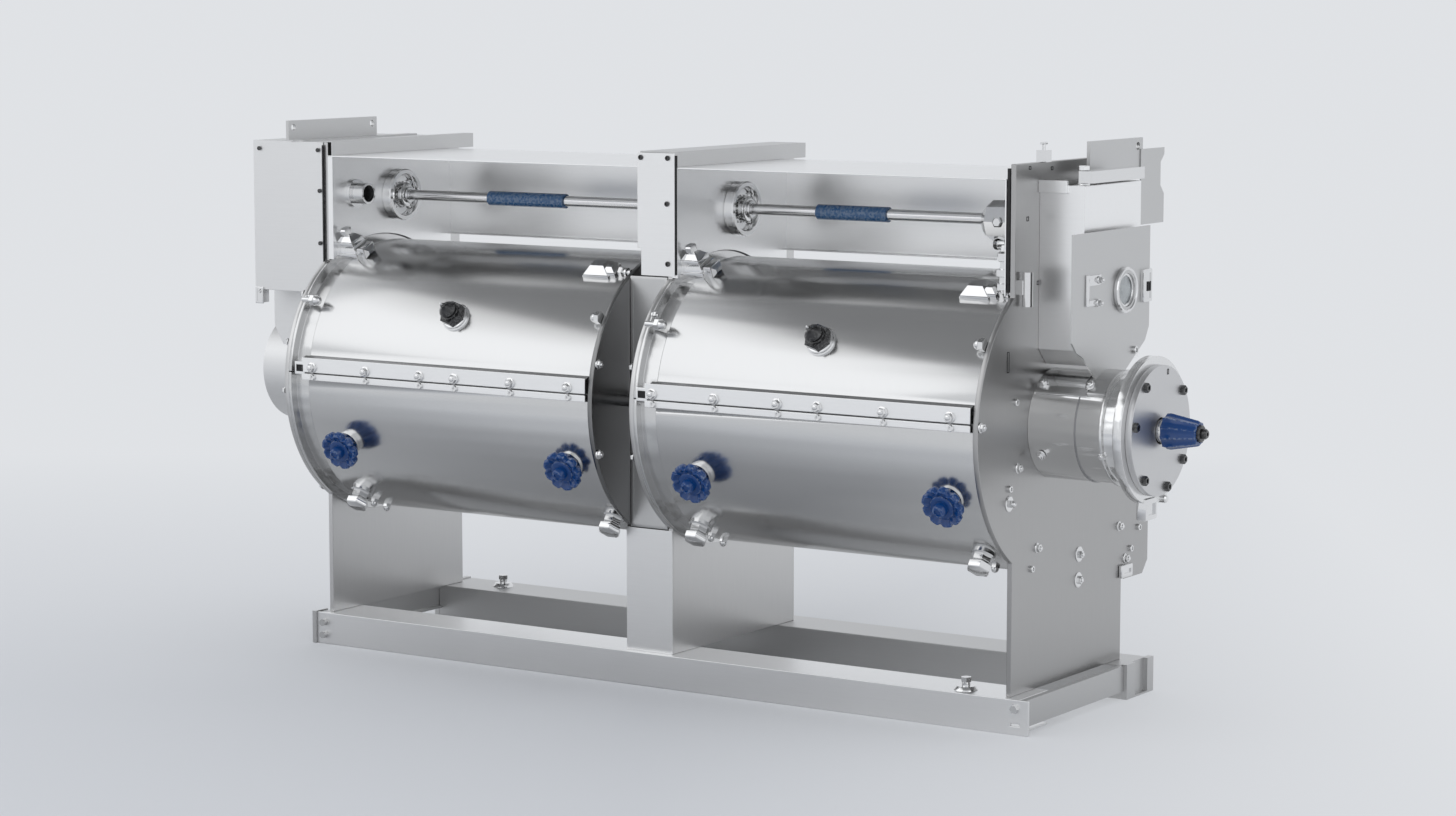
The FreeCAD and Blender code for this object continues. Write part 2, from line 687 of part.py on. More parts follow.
def make_drums():
    """Jacketed drums, each split into an upper and a lower shell along flange bands."""
    strips = []
    for label, (start, end) in DRUMS.items():
        neck_end = f"{start} + neck_length"
        wall = turned("wall", [
            (start, "drum_bore"), (end, "drum_bore"), (end, "jacket_radius"), (neck_end, "jacket_radius"),
            (f"{neck_end} - 6", "neck_radius"), (f"{start} + ring_thick", "neck_radius"),
            (f"{start} + ring_thick", "disc_radius"), (start, "disc_radius"),
        ])
        for part, low, high in (
            ("upper", "split_height + gasket_thick / 2", "shaft_height + disc_radius + 30"),
            ("lower", "shaft_height - disc_radius - 30", "split_height - gasket_thick / 2"),
        ):
            half = block("half", (f"{start} - 1", f"{end} + 1"), ("-600", "600"), (low, high))
            shell = common("shell", wall, half)
            bars = []
            bar_span = (f"{start} + 40", f"{end} - 6")
            edge = "band_top" if part == "upper" else "band_bottom"
            inner_z = low if part == "upper" else high
            for sense in (-1, 1):
                face = f"{sense} * (band_stand_off - shaft_front) - shaft_front"
                root = f"{sense} * (jacket_radius - 22) - shaft_front"
                bevel = f"{sense} * (jacket_radius - 4) - shaft_front"
                rise = 7 if part == "upper" else -3
                points = [
                    (face, inner_z), (root, inner_z), (root, edge), (bevel, edge),
                    (face, f"({edge}) - {rise}"),
                ]
                length = f"({bar_span[1]}) - ({bar_span[0]})"
                bars.append(padded("bar", "YZ_Plane", points, length, (bar_span[0], "0", "0")))
            bored = cut("bars", together("bar_pair", bars), [
                rod("clear", "x", (f"{start} - 1", f"{end} + 1"), "jacket_radius - 5", SHAFT)])
            half_drum = fused(f"drum_{label}_{part}", [shell, bored])
            if (label, part) == ("one", "lower"):
                half_drum = cut("shell", half_drum, [spout_rod("hole", ("0", "spout_end"), "spout_bore")])
            node(f"drum_{label}_{part}", half_drum)
        for sense in (-1, 1):
            edges = (f"{sense} * (drum_bore + 1) - shaft_front",
                     f"{sense} * (jacket_radius - 2) - shaft_front")
            across = sorted(edges, key=amount)
            strips.append(block("gasket", (f"{start} + ring_thick", f"{end} - 6"), across,
                                ("split_height - gasket_thick / 2", "split_height + gasket_thick / 2")))
    node("split_gaskets", together("split_gaskets", strips))


def spout_rod(name, span, radius):
    """A round bar on the discharge spout's line, low on the far side of the first drum."""
    return spoke(name, "round", SPOUT_X, "spout_angle", span, radius)


def make_spout():
    """The flanged discharge spout, seated on the jacket over the hole in the lower shell."""
    pipe = spout_rod("pipe", ("jacket_radius - 20", "spout_end"), "spout_bore + spout_wall")
    flange = spout_rod("flange", ("spout_end - spout_flange", "spout_end"), "spout_bore + spout_rim")
    start, end = DRUMS["one"]
    jacket = rod("jacket", "x", (start, end), "jacket_radius", SHAFT)
    hole = spout_rod("hole", ("drum_bore - 40", "spout_end + 1"), "spout_bore")
    node("discharge_spout", cut("spout", fused("spout", [pipe, flange]), [jacket, hole]))


def make_band_bolts():
    """Hexagon screws along the flange bands, in a large upper row and a small lower one."""
    face = "-band_stand_off"
    large = []
    small = []
    for label, (start, end) in DRUMS.items():
        first = f"({start} + band_first_{label})"
        last = f"({end} - band_last)"
        third = f"(({first} + {last}) / 2 - band_middle_gap / 2)"
        fourth = f"({third} + band_middle_gap)"
        for x in (first, f"({first} + {third}) / 2", third, fourth, f"({fourth} + {last}) / 2", last):
            large.append(bolt("y", face, -1, (x, "split_height + 13"), "10", 8))
            small.append(bolt("y", face, -1, (f"{x} + 3", "split_height - 10"), "6.5", 5))
    node("band_bolts", together("band_bolts", large + small))


def saddled(name, pieces):
    """A boss whose foot follows the drum's jacket and neck."""
    drums = [rod("neck", "x", ("-base_length / 2", "base_length / 2"), "neck_radius", SHAFT)]
    for start, end in DRUMS.values():
        drums.append(rod("jacket", "x", (f"{start} + neck_length - 6", end), "jacket_radius", SHAFT))
    return cut(name, fused(name, pieces), drums)


def make_fittings():
    """What stands on the drums: port stems, knobs, glands, clamps and drain plugs."""
    stems = []
    for index, x in enumerate(SPOTS["port"], start=1):
        foot_span = ("jacket_radius - 12", "jacket_radius + 8")
        foot = spoke("foot", "round", x, "port_angle", foot_span, "stem_radius + 6")
        neck_span = ("jacket_radius - 12", "port_start - gap")
        neck = spoke("neck", "round", x, "port_angle", neck_span, "stem_radius")
        hole = spoke("hole", "round", x, "port_angle", ("jacket_radius + 2", "port_start + 1"), "8 + fit")
        stems.append(cut("stem", saddled("stem", [foot, neck]), [hole]))
        make_port_knob(index, x)
    node("port_stems", together("port_stems", stems))

    glands = []
    for x in SPOTS["gland"]:
        base = spoke("base", "round", x, "gland_angle", ("jacket_radius - 12", "jacket_radius + 9"),
                     "gland_radius")
        nut = spoke("nut", "hex", x, "gland_angle", ("jacket_radius + 9", "jacket_radius + 27"),
                    "gland_radius + 3")
        collar_span = ("jacket_radius + 27", "jacket_radius + 33")
        collar = spoke("collar", "round", x, "gland_angle", collar_span, "gland_radius - 7")
        cone_span = ("jacket_radius + 33", "jacket_radius + 52")
        cone = spoke("cone", "cone", x, "gland_angle", cone_span, ("gland_radius - 12", "6"))
        pin = spoke("pin", "round", x, "gland_angle", ("jacket_radius + 52", "jacket_radius + 66"), "2.5")
        glands.append(saddled("gland", [base, nut, collar, cone, pin]))
    node("sensor_glands", together("sensor_glands", glands))

    tops = []
    for index, x in enumerate(SPOTS["top"]):
        if index % 2 == 0:
            seat = brick("seat", (f"{x} - 28", f"{x} + 28"), "top_angle",
                         ("neck_radius - 8", "jacket_radius + 6"), "50")
            body = brick("body", (f"{x} - 24", f"{x} + 20"), "top_angle",
                         ("jacket_radius + 6", "jacket_radius + 36"), "44")
            jaw = brick("jaw", (f"{x} + 20", f"{x} + 32"), "top_angle",
                        ("jacket_radius + 2", "jacket_radius + 30"), "34")
            stem = spoke("stem", "round", x, "top_angle", ("jacket_radius + 36", "jacket_radius + 52"), "7")
            head = spoke("head", "hex", x, "top_angle", ("jacket_radius + 44", "jacket_radius + 56"), "11")
            tops.append(saddled("top", [seat, body, jaw, stem, head]))
        else:
            end = MID_ONE_IN if index == 1 else RIGHT_IN
            body = brick("body", (f"{x} - 44", f"{x} + 36"), "top_angle + 4",
                         ("jacket_radius - 10", "jacket_radius + 20"), "46")
            toe = brick("toe", (f"{x} - 8", f"{x} + 36"), "top_angle + 12",
                        ("jacket_radius - 10", "jacket_radius + 16"), "40")
            link = rod("link", "x", (f"{x} + 30", end), "7", polar("jacket_radius + 2", "top_angle + 8"))
            nut = hexagon("nut", "x", (f"{end} - 22", f"{end} - 8"), "12",
                          polar("jacket_radius + 2", "top_angle + 8"))
            tops.append(saddled("top", [body, toe, link, nut]))
    node("top_fittings", together("top_fittings", tops))

    drains = []
    for x in SPOTS["drain"]:
        boss = spoke("boss", "round", x, "drain_angle", ("jacket_radius - 14", "jacket_radius + 16"), "22")
        nut = spoke("nut", "hex", x, "drain_angle", ("jacket_radius + 16", "jacket_radius + 27"), "28")
        plug = spoke("plug", "hex", x, "drain_angle", ("jacket_radius + 27", "jacket_radius + 45"), "20")
        drains.append(saddled("drain", [boss, nut, plug]))
    node("drain_plugs", together("drain_plugs", drains))


def make_port_knob(index, x):
    """A blue scalloped knob with a centre boss, on a spindle that turns in its stem."""
    start, end = "port_start", "port_start + port_depth"
    cap = spoke("cap", "round", x, "port_angle", (start, end), "port_radius")
    boss = spoke("boss", "round", x, "port_angle", (end, f"{end} + 14"), "13")
    spindle = spoke("spindle", "round", x, "port_angle", ("jacket_radius + 4", start), "8")
    lobes = 9
    scallops = []
    for step in range(lobes):
        turn = 360 * step / lobes
        scallop = spoke("scallop", "round", x, "port_angle", (f"{start} - 1", f"{end} + 1"), "6")
        off_x = f"(port_radius + 2.5) * cos({turn} * 1 deg)"
        off_round = f"(port_radius + 2.5) * sin({turn} * 1 deg)"
        radial_y, radial_z = polar(f"{start} - 1", "port_angle")
        scallop.setExpression("Placement.Base.x", bound(f"{x} + {off_x}"))
        scallop.setExpression("Placement.Base.y",
                              bound(f"{radial_y} - {off_round} * sin(port_angle * 1 deg)"))
        scallop.setExpression("Placement.Base.z",
                              bound(f"{radial_z} + {off_round} * cos(port_angle * 1 deg)"))
        scallops.append(scallop)
    node(f"port_knob_{index}", cut("knob", fused("knob_body", [cap, boss, spindle]), scallops))


def make_rotor():
    """The lower mixing shaft with its paddles, and the blue cone on its right end."""
    left_end = f"({HOUSING_LEFT} - input_length)"
    shaft = turned("rotor_shaft", [
        (left_end, "0"), (CONE_START, "0"), (CONE_START, "journal_radius"),
        (f"{TUBE_END} - 60", "journal_radius"),
        (f"{TUBE_END} - 60", "shaft_radius"), (f"{LEFT_OUT} - 40", "shaft_radius"),
        (f"{LEFT_OUT} - 40", "journal_radius"), (HOUSING_LEFT, "journal_radius"),
        (HOUSING_LEFT, "input_radius"), (left_end, "input_radius"),
    ])
    key = block("key", (f"{left_end} - 1", f"{HOUSING_LEFT} - 8"), ("-shaft_front - 6", "-shaft_front + 6"),
                ("shaft_height + input_radius - 5", "shaft_height + input_radius + 5"))
    node("rotor_shaft", cut("rotor_shaft", shaft, [key]))
    for label, (start, end) in DRUMS.items():
        paddles = []
        count = int(round(amount("paddles_per_drum")))
        for index in range(count):
            x = f"({start} + (({end}) - ({start})) * {(index + 0.5) / count})"
            angle = index * 75 + (0 if label == "one" else 40)
            hub_span = (f"{x} - paddle_hub_length / 2", f"{x} + paddle_hub_length / 2")
            hub = ring("hub", hub_span, "shaft_radius", "paddle_hub_radius")
            pieces = [hub]
            for side in (0, 180):
                run = ("shaft_radius + 8", "paddle_reach - blade_height + 10")
                pieces.append(spoke("arm", "round", x, str(angle + side), run, "paddle_arm_radius"))
                pieces.append(make_blade(x, angle + side))
            paddles.append(fused("paddle", pieces))
        node(f"paddles_{label}", together(f"paddles_{label}", paddles))
    cone = taper("cone", "x", (CONE_START, CONE_END), ("cone_base_radius", "cone_nose_radius"), SHAFT)
    flutes = []
    for step in range(6):
        run = (f"{CONE_START} + 14", f"{CONE_END} + 1")
        flutes.append(taper("flute", "x", run, ("7", "9"), polar("cone_base_radius - 2", step * 60 + 30)))
    node("cone_knob", cut("cone_knob", cone, flutes))
    tip_base = ring("tip_base", (CONE_END, f"{CONE_END} + 7"), "0", "15")
    tip = hexagon("tip", "x", (f"{CONE_END} + 7", f"{CONE_END} + tip_length"), "9", SHAFT)
    node("cone_tip", fused("cone_tip", [tip_base, tip]))


def make_blade(x, angle):
    """A paddle blade at the end of its arm, tilted against the shaft."""
    blade = doc.addObject("Part::Box", fresh("blade"))
    blade.setExpression("Length", bound("blade_width"))
    blade.setExpression("Width", bound("blade_thick"))
    blade.setExpression("Height", bound("blade_height"))
    outward = FreeCAD.Rotation(FreeCAD.Vector(1, 0, 0), angle - 90)
    tilt = FreeCAD.Rotation(FreeCAD.Vector(0, 0, 1), amount("blade_tilt"))
    turn = outward.multiply(tilt)
    corner = FreeCAD.Vector(-amount("blade_width") / 2, -amount("blade_thick") / 2, 0)
    edge = math.sqrt(amount("paddle_reach") ** 2 - (amount("blade_width") / 2) ** 2)
    radius = edge - amount("blade_height")
    base = outward.multVec(tilt.multVec(corner) + FreeCAD.Vector(0, 0, radius))
    blade.Placement = FreeCAD.Placement(base, turn)
    blade.setExpression("Placement.Base.x", bound(f"{x} + {base.x}"))
    blade.setExpression("Placement.Base.y", bound(f"-shaft_front + {base.y}"))
    blade.setExpression("Placement.Base.z", bound(f"shaft_height + {base.z}"))
    return blade


def make_upper_shaft():
    """The thin shaft through both hoods, its bearings and its blue sleeves."""
    end = f"({RIGHT_IN} - 20)"
    node("upper_shaft", rod("upper_shaft", "x", (f"{PULLEY} - 8", end), "upper_radius", UPPER))
    sleeves = []
    for label, (drum_start, _) in DRUMS.items():
        start = f"({drum_start} + sleeve_{label}_offset)"
        span = (start, f"{start} + sleeve_{label}_length")
        sleeves.append(ring("sleeve", span, "upper_radius", "sleeve_radius", UPPER))
    node("shaft_sleeves", together("shaft_sleeves", sleeves))
    flanges = []
    for seat in (f"({LEFT_IN} + liner_stand_off)", f"({MID_TWO_IN} + liner_stand_off)"):
        flanges.append(turned("flange", [
            (seat, "upper_radius + fit"), (f"{seat} + 34", "upper_radius + fit"), (f"{seat} + 34", "25"),
            (f"{seat} + 16", "28"), (f"{seat} + 14", "flange_radius - 12"),
            (f"{seat} + 12", "flange_radius"), (seat, "flange_radius"),
        ], UPPER))
    for seat in (f"({LEFT_IN} + liner_stand_off)", f"({MID_TWO_IN} + liner_stand_off)"):
        for step in range(4):
            y = f"-upper_front + 44 * cos({45 + 90 * step} * 1 deg)"
            z = f"upper_height + 44 * sin({45 + 90 * step} * 1 deg)"
            flanges.append(rod("screw", "x", (f"{seat} + 14", f"{seat} + 22"), "6", (y, z)))
    node("flange_bearings", together("flange_bearings", flanges))
    block_end = f"({RIGHT_IN} - right_liner_gap - sheet)"
    block_start = f"({block_end} - block_length)"
    casting = padded("block", "XZ_Plane", [
        (block_start, "upper_height - block_radius + 18"),
        (f"{block_start} + 14", "upper_height - block_radius + 6"),
        (block_end, "upper_height - block_radius + 6"),
        (block_end, "upper_height + block_radius"),
        (f"{block_start} + 58", "upper_height + block_radius"),
        (block_start, "upper_height + block_radius - 34"),
    ], "2 * block_radius - 8", ("0", "-upper_front - block_radius + 4", "0"))
    bore = rod("bore", "x", (f"{block_start} - 1", f"{block_end} + 1"), "upper_radius + fit", UPPER)
    low = ("upper_height - block_radius - 16", "upper_height - block_radius + 8")
    drain = hexagon("drain", "z", low, "13", (f"{block_start} + 46", "-upper_front"))
    node("right_bearing_block", fused("right_bearing_block", [cut("casting", casting, [bore]), drain]))
    seat = f"{LEFT_IN} + liner_stand_off"
    stub = turned("stub", [
        (seat, "20"), (f"{seat} + 42", "20"), (f"{seat} + 42", "25"), (f"{seat} + 8", "25"),
        (f"{seat} + 8", "33"), (seat, "33"),
    ], ("-stub_front", "stub_height"))
    valve_x = (f"{RIGHT_IN} + 0.5", f"{RIGHT_OUT} + 12")
    valve_block = block("valve_block", valve_x, ("-146", "-122"), ("frame_top - sheet", "frame_top + 22"))
    screw = rod("screw", "z", ("frame_top + 22", "frame_top + 38"), "3.5", (f"{RIGHT_IN} + 12", "-134"))
    handle = rod("handle", "y", ("-146", "-122"), "3", (f"{RIGHT_IN} + 12", "frame_top + 36"))
    foot = block("foot", (RIGHT_OUT, f"{RIGHT_OUT} + 10"), ("-238", "-218"),
                 ("window_height", "window_height + 30"))
    column = rod("column", "z", ("window_height - 25", "window_height + 47"), "11",
                 (f"{RIGHT_OUT} + 16", "-228"))
    node("small_fittings", together("small_fittings", [
        stub, fused("valve", [valve_block, screw, handle]), fused("sensor_column", [foot, column])]))


def belt_loop(grow):
    """The closed line round both pulleys, grown outwards by an amount."""
    low = FreeCAD.Vector(0, amount(SHAFT[0]), amount(SHAFT[1]))
    high = FreeCAD.Vector(0, amount(UPPER[0]), amount(UPPER[1]))
    r_low = amount("lower_pulley_radius") + grow
    r_high = amount("upper_pulley_radius") + grow
    line = high - low
    lean = math.atan2(line.z, line.y)
    open_angle = math.acos((r_low - r_high) / line.Length)

    def point(centre, radius, angle):
        return centre + FreeCAD.Vector(0, radius * math.cos(angle), radius * math.sin(angle))

    a, b = point(low, r_low, lean + open_angle), point(low, r_low, lean - open_angle)
    c, d = point(high, r_high, lean - open_angle), point(high, r_high, lean + open_angle)
    edges = [
        Part.Arc(a, point(low, r_low, lean + math.pi), b).toShape(), Part.LineSegment(b, c).toShape(),
        Part.Arc(c, point(high, r_high, lean), d).toShape(), Part.LineSegment(d, a).toShape(),
    ]
    return Part.Face(Part.Wire(edges))


def make_drive():
    """The belt drive that ties the two shafts, in its case on the left end."""
    wide = (PULLEY, f"{PULLEY} + pulley_width")
    belt_start = f"({PULLEY} + (pulley_width - belt_width) / 2)"
    rim = (f"{belt_start} - 1", f"{belt_start} + belt_width + 1")
    for name, radius, bore, centre in (
        ("lower_pulley", "lower_pulley_radius", "journal_radius", SHAFT),
        ("upper_pulley", "upper_pulley_radius", "upper_radius", UPPER),
    ):
        node(name, turned(name, [
            (wide[0], bore), (wide[1], bore), (wide[1], f"{radius} + 5"), (rim[1], f"{radius} + 5"),
            (rim[1], radius), (rim[0], radius), (rim[0], f"{radius} + 5"), (wide[0], f"{radius} + 5"),
        ], centre))
    gap = amount("gap")
    loop = belt_loop(gap + amount("belt_thick")).cut(belt_loop(gap))
    belt = doc.addObject("Part::Feature", "belt")
    belt.Shape = loop.extrude(FreeCAD.Vector(amount("belt_width"), 0, 0))
    node("drive_belt", place(belt, belt_start, "0", "0"))

    x = (CASE_LEFT, LEFT_OUT)
    y = ("-frame_front", "case_back")
    z = ("case_bottom", "frame_top - sheet")
    outer = block("case", x, y, z)
    inner = block("inside", (f"{CASE_LEFT} + sheet", f"{LEFT_OUT} + 1"),
                  ("-frame_front - 1", "case_back - sheet"),
                  ("case_bottom + sheet", "frame_top - 2 * sheet"))
    slot_x = (f"{PULLEY} - 12", f"{PULLEY} + pulley_width + 12")
    slot_y = ("-shaft_front - lower_pulley_radius - 14", "-shaft_front + lower_pulley_radius + 96")
    slot = block("slot", slot_x, slot_y, ("case_bottom - 1", "case_bottom + sheet + 1"))
    node("left_case", cut("left_case", outer, [inner, slot]))
    node("left_case_cover", block("cover", x, ("-frame_front - sheet", "-frame_front"), z))
    screws = [rod("screw", "y", ("-frame_front - sheet - 4", "-frame_front - sheet"), "5", (sx, sz))
              for sx,
              sz in ((f"{CASE_LEFT} + 20", "frame_top - 22"), (f"{LEFT_OUT} - 14", "frame_top - 22"),
                             (f"{LEFT_OUT} - 10", "frame_top - 118"),
                             (f"{LEFT_OUT} - 10", "case_bottom + 118"))]
    node("case_screws", together("case_screws", screws))
    guard_y = ("-shaft_front - guard_reach", "-shaft_front + guard_reach")
    guard = padded("guard", "XZ_Plane", [
        (CASE_LEFT, "case_bottom"), (LEFT_OUT, "case_bottom"), (LEFT_OUT, "shaft_height + 40"),
        (f"{PULLEY} - 20", "shaft_height + 40"), (CASE_LEFT, "case_bottom - 92"),
    ], "2 * guard_reach", ("0", guard_y[0], "0"))
    inside_y = (f"{guard_y[0]} + sheet", f"{guard_y[1]} - sheet")
    guard_inner = block("guard_inside", (f"{PULLEY} - 12", f"{LEFT_OUT} + 1"), inside_y,
                        ("shaft_height", "case_bottom + 1"))
    guard_round = rod("guard_round", "x", (f"{CASE_LEFT} - 1", f"{LEFT_OUT} + 1"),
                      "housing_radius - housing_wall / 2", SHAFT)
    guard = cut("guard", guard, [guard_inner, guard_round])
    housing = turned("housing", [
        (HOUSING_LEFT, "bearing_radius"), (f"{HOUSING_LEFT} + 34", "bearing_radius"),
        (f"{HOUSING_LEFT} + 34", "bearing_radius + 9"),
        (f"{HOUSING_LEFT} + housing_wall", "bearing_radius + 9"),
        (f"{HOUSING_LEFT} + housing_wall", "housing_radius - housing_wall"),
        (LEFT_OUT, "housing_radius - housing_wall"), (LEFT_OUT, "housing_radius"),
        (HOUSING_LEFT, "housing_radius"),
    ])
    way_x = (f"{PULLEY} - 6", f"{PULLEY} + pulley_width + 6")
    way_y = (f"{inside_y[0]} + 2", f"{inside_y[1]} - 2")
    belt_way = block("belt_way", way_x, way_y, ("shaft_height + 45", "shaft_height + housing_radius + 10"))
    node("belt_guard", fused("belt_guard", [guard, cut("housing", housing, [belt_way])]))
    bar_x = f"({LEFT_OUT} - left_bar_offset)"
    bar_z = ("frame_top", "frame_top + left_bar_height")
    bar = block("bar", (f"{bar_x} - 4", f"{bar_x} + 4"), ("-left_bar_front", "left_bar_back"), bar_z)
    eyes = [rod("eye", "x", (f"{bar_x} - 5", f"{bar_x} + 5"), "left_eye_radius", (ey, f"{bar_z[1]} - 16"))
            for ey in ("-left_bar_front + 18", "left_bar_back - 18")]
    foot = block("foot", (f"{bar_x} + 4", f"{bar_x} + 34"), ("-frame_front", "cap_back - 110"),
                 ("frame_top - sheet", "frame_top + 1"))
    node("left_lifting_bar", fused("left_lifting_bar", [cut("bar", bar, eyes), foot]))


def make_right_end():
    """Bearing tube, cover disc, feed duct, guard plate and what is fixed to them."""
    collar = f"({GUARD} + 42)"
    tube = turned("tube", [
        (RIGHT_OUT, "tube_radius - tube_wall"), (f"{TUBE_END} - 48", "tube_radius - tube_wall"),
        (f"{TUBE_END} - 48", "bearing_radius"), (TUBE_END, "bearing_radius"),
        (TUBE_END, "tube_radius - 3"), (f"{collar} + 8", "tube_radius - 3"),
        (f"{collar} + 8", "tube_radius + 5"),
        (collar, "tube_radius + 5"), (collar, "tube_radius"), (RIGHT_OUT, "tube_radius"),
    ])
    strap = saddle("strap", (f"{RIGHT_OUT} + 8", f"{GUARD} - 1"),
                   ("tube_radius - 1", "tube_radius + 3"), (126, 143))
    end_ring = ring("end_ring", (TUBE_END, RING_END), "bearing_radius", "ring_radius")
    node("bearing_tube", fused("bearing_tube", [tube, end_ring, strap]))
    node("cover_disc", ring("cover_disc", (RING_END, COVER_END), "journal_radius + 3", "cover_radius"))
    dogs = [bolt("x", COVER_END, 1, polar("cover_radius - 14", 22 + 45 * step), "9",
                 9) for step in range(8)]
    node("cover_bolts", together("cover_bolts", dogs))

    bearings = []
    for start, width, shaft, outer in (
        (f"{HOUSING_LEFT} + 3", "28", "journal_radius", "bearing_radius"),
        (f"{TUBE_END} - 34", "28", "journal_radius", "bearing_radius"),
        (f"{LEFT_OUT} - 30", "24", "shaft_radius", "shaft_radius + 22"),
    ):
        bearings.append(ring("bearing", (start, f"{start} + {width}"), f"{shaft} + fit", outer))
    node("rotor_bearings", together("rotor_bearings", bearings))
    seals = []
    for start in (LEFT_IN, f"({RIGHT_IN} - 12)"):
        seals.append(ring("seal", (start, f"{start} + 12"), "shaft_radius + fit", "shaft_radius + 20"))
    node("shaft_seals", together("shaft_seals", seals))

    body = padded("duct", "YZ_Plane", [
        ("-duct_front", "duct_bottom + 34"), ("-duct_front + 34", "duct_bottom"),
        ("duct_back", "duct_bottom"),
        ("duct_back", "duct_top"), ("-duct_front", "duct_top"),
    ], "duct_length", (RIGHT_OUT, "0", "0"))
    hollow = padded("hollow", "YZ_Plane", [
        ("-duct_front + sheet", "duct_bottom + 35"), ("-duct_front + 35", "duct_bottom + sheet"),
        ("duct_back - sheet", "duct_bottom + sheet"), ("duct_back - sheet", "duct_top + 1"),
        ("-duct_front + sheet", "duct_top + 1"),
    ], "duct_length - sheet + 1", (f"{RIGHT_OUT} - 1", "0", "0"))
    corner_pad = block("corner_pad", (f"{DUCT_END} - 36", DUCT_END), ("-duct_front", "-duct_front + 52"),
                       ("duct_top - 8", "duct_top"))
    rim = block("rim", (RIGHT_OUT, f"{DUCT_END} - 38"), ("-duct_front - 8", "-duct_front"),
                ("duct_top - 16", "duct_top + 10"))
    stud = rod("stud", "z", ("duct_top", "duct_top + 40"), "latch_pin_radius", LATCH)
    collar = rod("collar", "z", ("duct_top", "duct_top + 5"), "13", LATCH)
    head = hexagon("head", "z", ("duct_top + 31", "duct_top + 41"), "13", LATCH)
    node("feed_duct", fused("feed_duct", [cut("duct", body, [hollow]), corner_pad, rim, stud, collar, head]))
    arm = block("arm", (f"{DUCT_END} - 20", f"{DUCT_END} + 14"), ("-duct_front + 8", "duct_back - 12"),
                ("duct_top + 5 + gap", "duct_top + 31 - gap"))
    pivot = rod("pivot", "z", ("duct_top", "duct_top + 41"), "latch_pin_radius + fit", LATCH)
    node("latch_arm", cut("latch_arm", arm, [pivot]))

    guard = padded("guard", "YZ_Plane", [
        ("-guard_front", "guard_top"), ("-guard_front", "guard_shoulder"),
        ("-guard_front + 22", "guard_shoulder - 22"),
        ("-guard_front + 50", "guard_shoulder - 34"),
        ("-shaft_front - 60", "shaft_height + tube_radius - 14"),
        ("-shaft_front + 60", "shaft_height + tube_radius - 14"),
        ("guard_back - 18", "guard_shoulder - 20"),
        ("guard_back", "guard_shoulder + 10"), ("guard_back", "guard_top"),
    ], "guard_thick", (GUARD, "0", "0"))
    face = f"({GUARD} + guard_thick)"
    through = (f"{GUARD} - 1", f"{face} + 1")
    window = ("-window_front", "window_height")
    sight = rod("sight", "x", through, "window_radius - 10", window)
    clear = rod("clear", "x", through, "tube_radius + gap", SHAFT)
    bezel = ring("bezel", (face, f"{face} + 8"), "window_radius - 10", "window_radius", window)
    node("sight_glass", rod("glass", "x", (GUARD, face), "window_radius - 10", window))
    tongue = saddle("tongue", (GUARD, f"{GUARD} + 41"), ("tube_radius + gap", "tube_radius + 4"), (70, 140))
    pegs = [rod("peg", "x", (DUCT_END, GUARD), "9", (across, up))
            for across in ("-duct_front + 30", "duct_back - 30") for up in ("guard_top - 25",
                                                                            "duct_bottom + 53")]
    node("guard_plate", fused("guard_plate", [cut("guard", fused("guard", [guard, tongue]), [sight, clear]),
                                bezel] + pegs))
    bar_x = f"({RIGHT_OUT} + right_bar_offset)"
    bar = block("bar", (bar_x, f"{bar_x} + 8"), ("-13", "frame_back - 15"),
                ("duct_top + 15", "frame_top + 36"))
    eye = rod("eye", "x", (f"{bar_x} - 1", f"{bar_x} + 9"), "right_eye_radius",
              ("frame_back - 38", "frame_top + 18"))
    foot = block("foot", (RIGHT_OUT, f"{bar_x} + 1"), ("125", "frame_back - 15"),
                 ("duct_top + 15", "duct_top + 21"))
    node("right_lifting_bar", fused("right_lifting_bar", [cut("bar", bar, [eye]), foot]))
    panel = padded("panel", "YZ_Plane", [
        ("frame_back - 60", "frame_top - 154"), ("frame_back + 85", "frame_top - 154"),
        ("frame_back + 85", "frame_top - 90"), ("frame_back + 68", "frame_top - 72"),
        ("frame_back + 68", "frame_top - 20"), ("frame_back + 85", "frame_top - 4"),
        ("frame_back + 85", "frame_top + 11"), ("frame_back - 28", "frame_top + 11"),
        ("frame_back - 28", "frame_top - 60"), ("frame_back - 60", "frame_top - 72"),
    ], "sheet", (f"{bar_x} + 8", "0", "0"))
    node("rear_upper_panel", panel)


make_base()
make_corners()
make_frames()
make_cladding()
make_drums()
make_spout()
make_band_bolts()
make_fittings()
make_rotor()
make_upper_shaft()
make_drive()
make_right_end()
doc.recompute()

faults = [item.Name for item in doc.Objects if "Invalid" in item.State or "Error" in item.State]
for name, thing in nodes.items():
    if thing.Shape.isNull() or not thing.Shape.isValid() or not thing.Shape.Solids:
        faults.append(name)
if faults:
    raise SystemExit("these failed: " + ", ".join(faults))

os.makedirs("parts", exist_ok=True)
for name, thing in nodes.items():
    thing.Shape.exportStep(f"parts/{name}.step")
    print(name, len(thing.Shape.Solids), round(thing.Shape.Volume / 1000), "cm3")
print(len(nodes), "nodes")
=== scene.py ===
# %% [markdown]
# # A double shaft mixer in satin steel
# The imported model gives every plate, drum and shaft its place. This lesson adds what makes them look
# real: the steels, the softened edges, the screws and clamps, the worn plastic knobs and the studio
# light.

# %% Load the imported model
import math
import bpy
from mathutils import Matrix, Vector


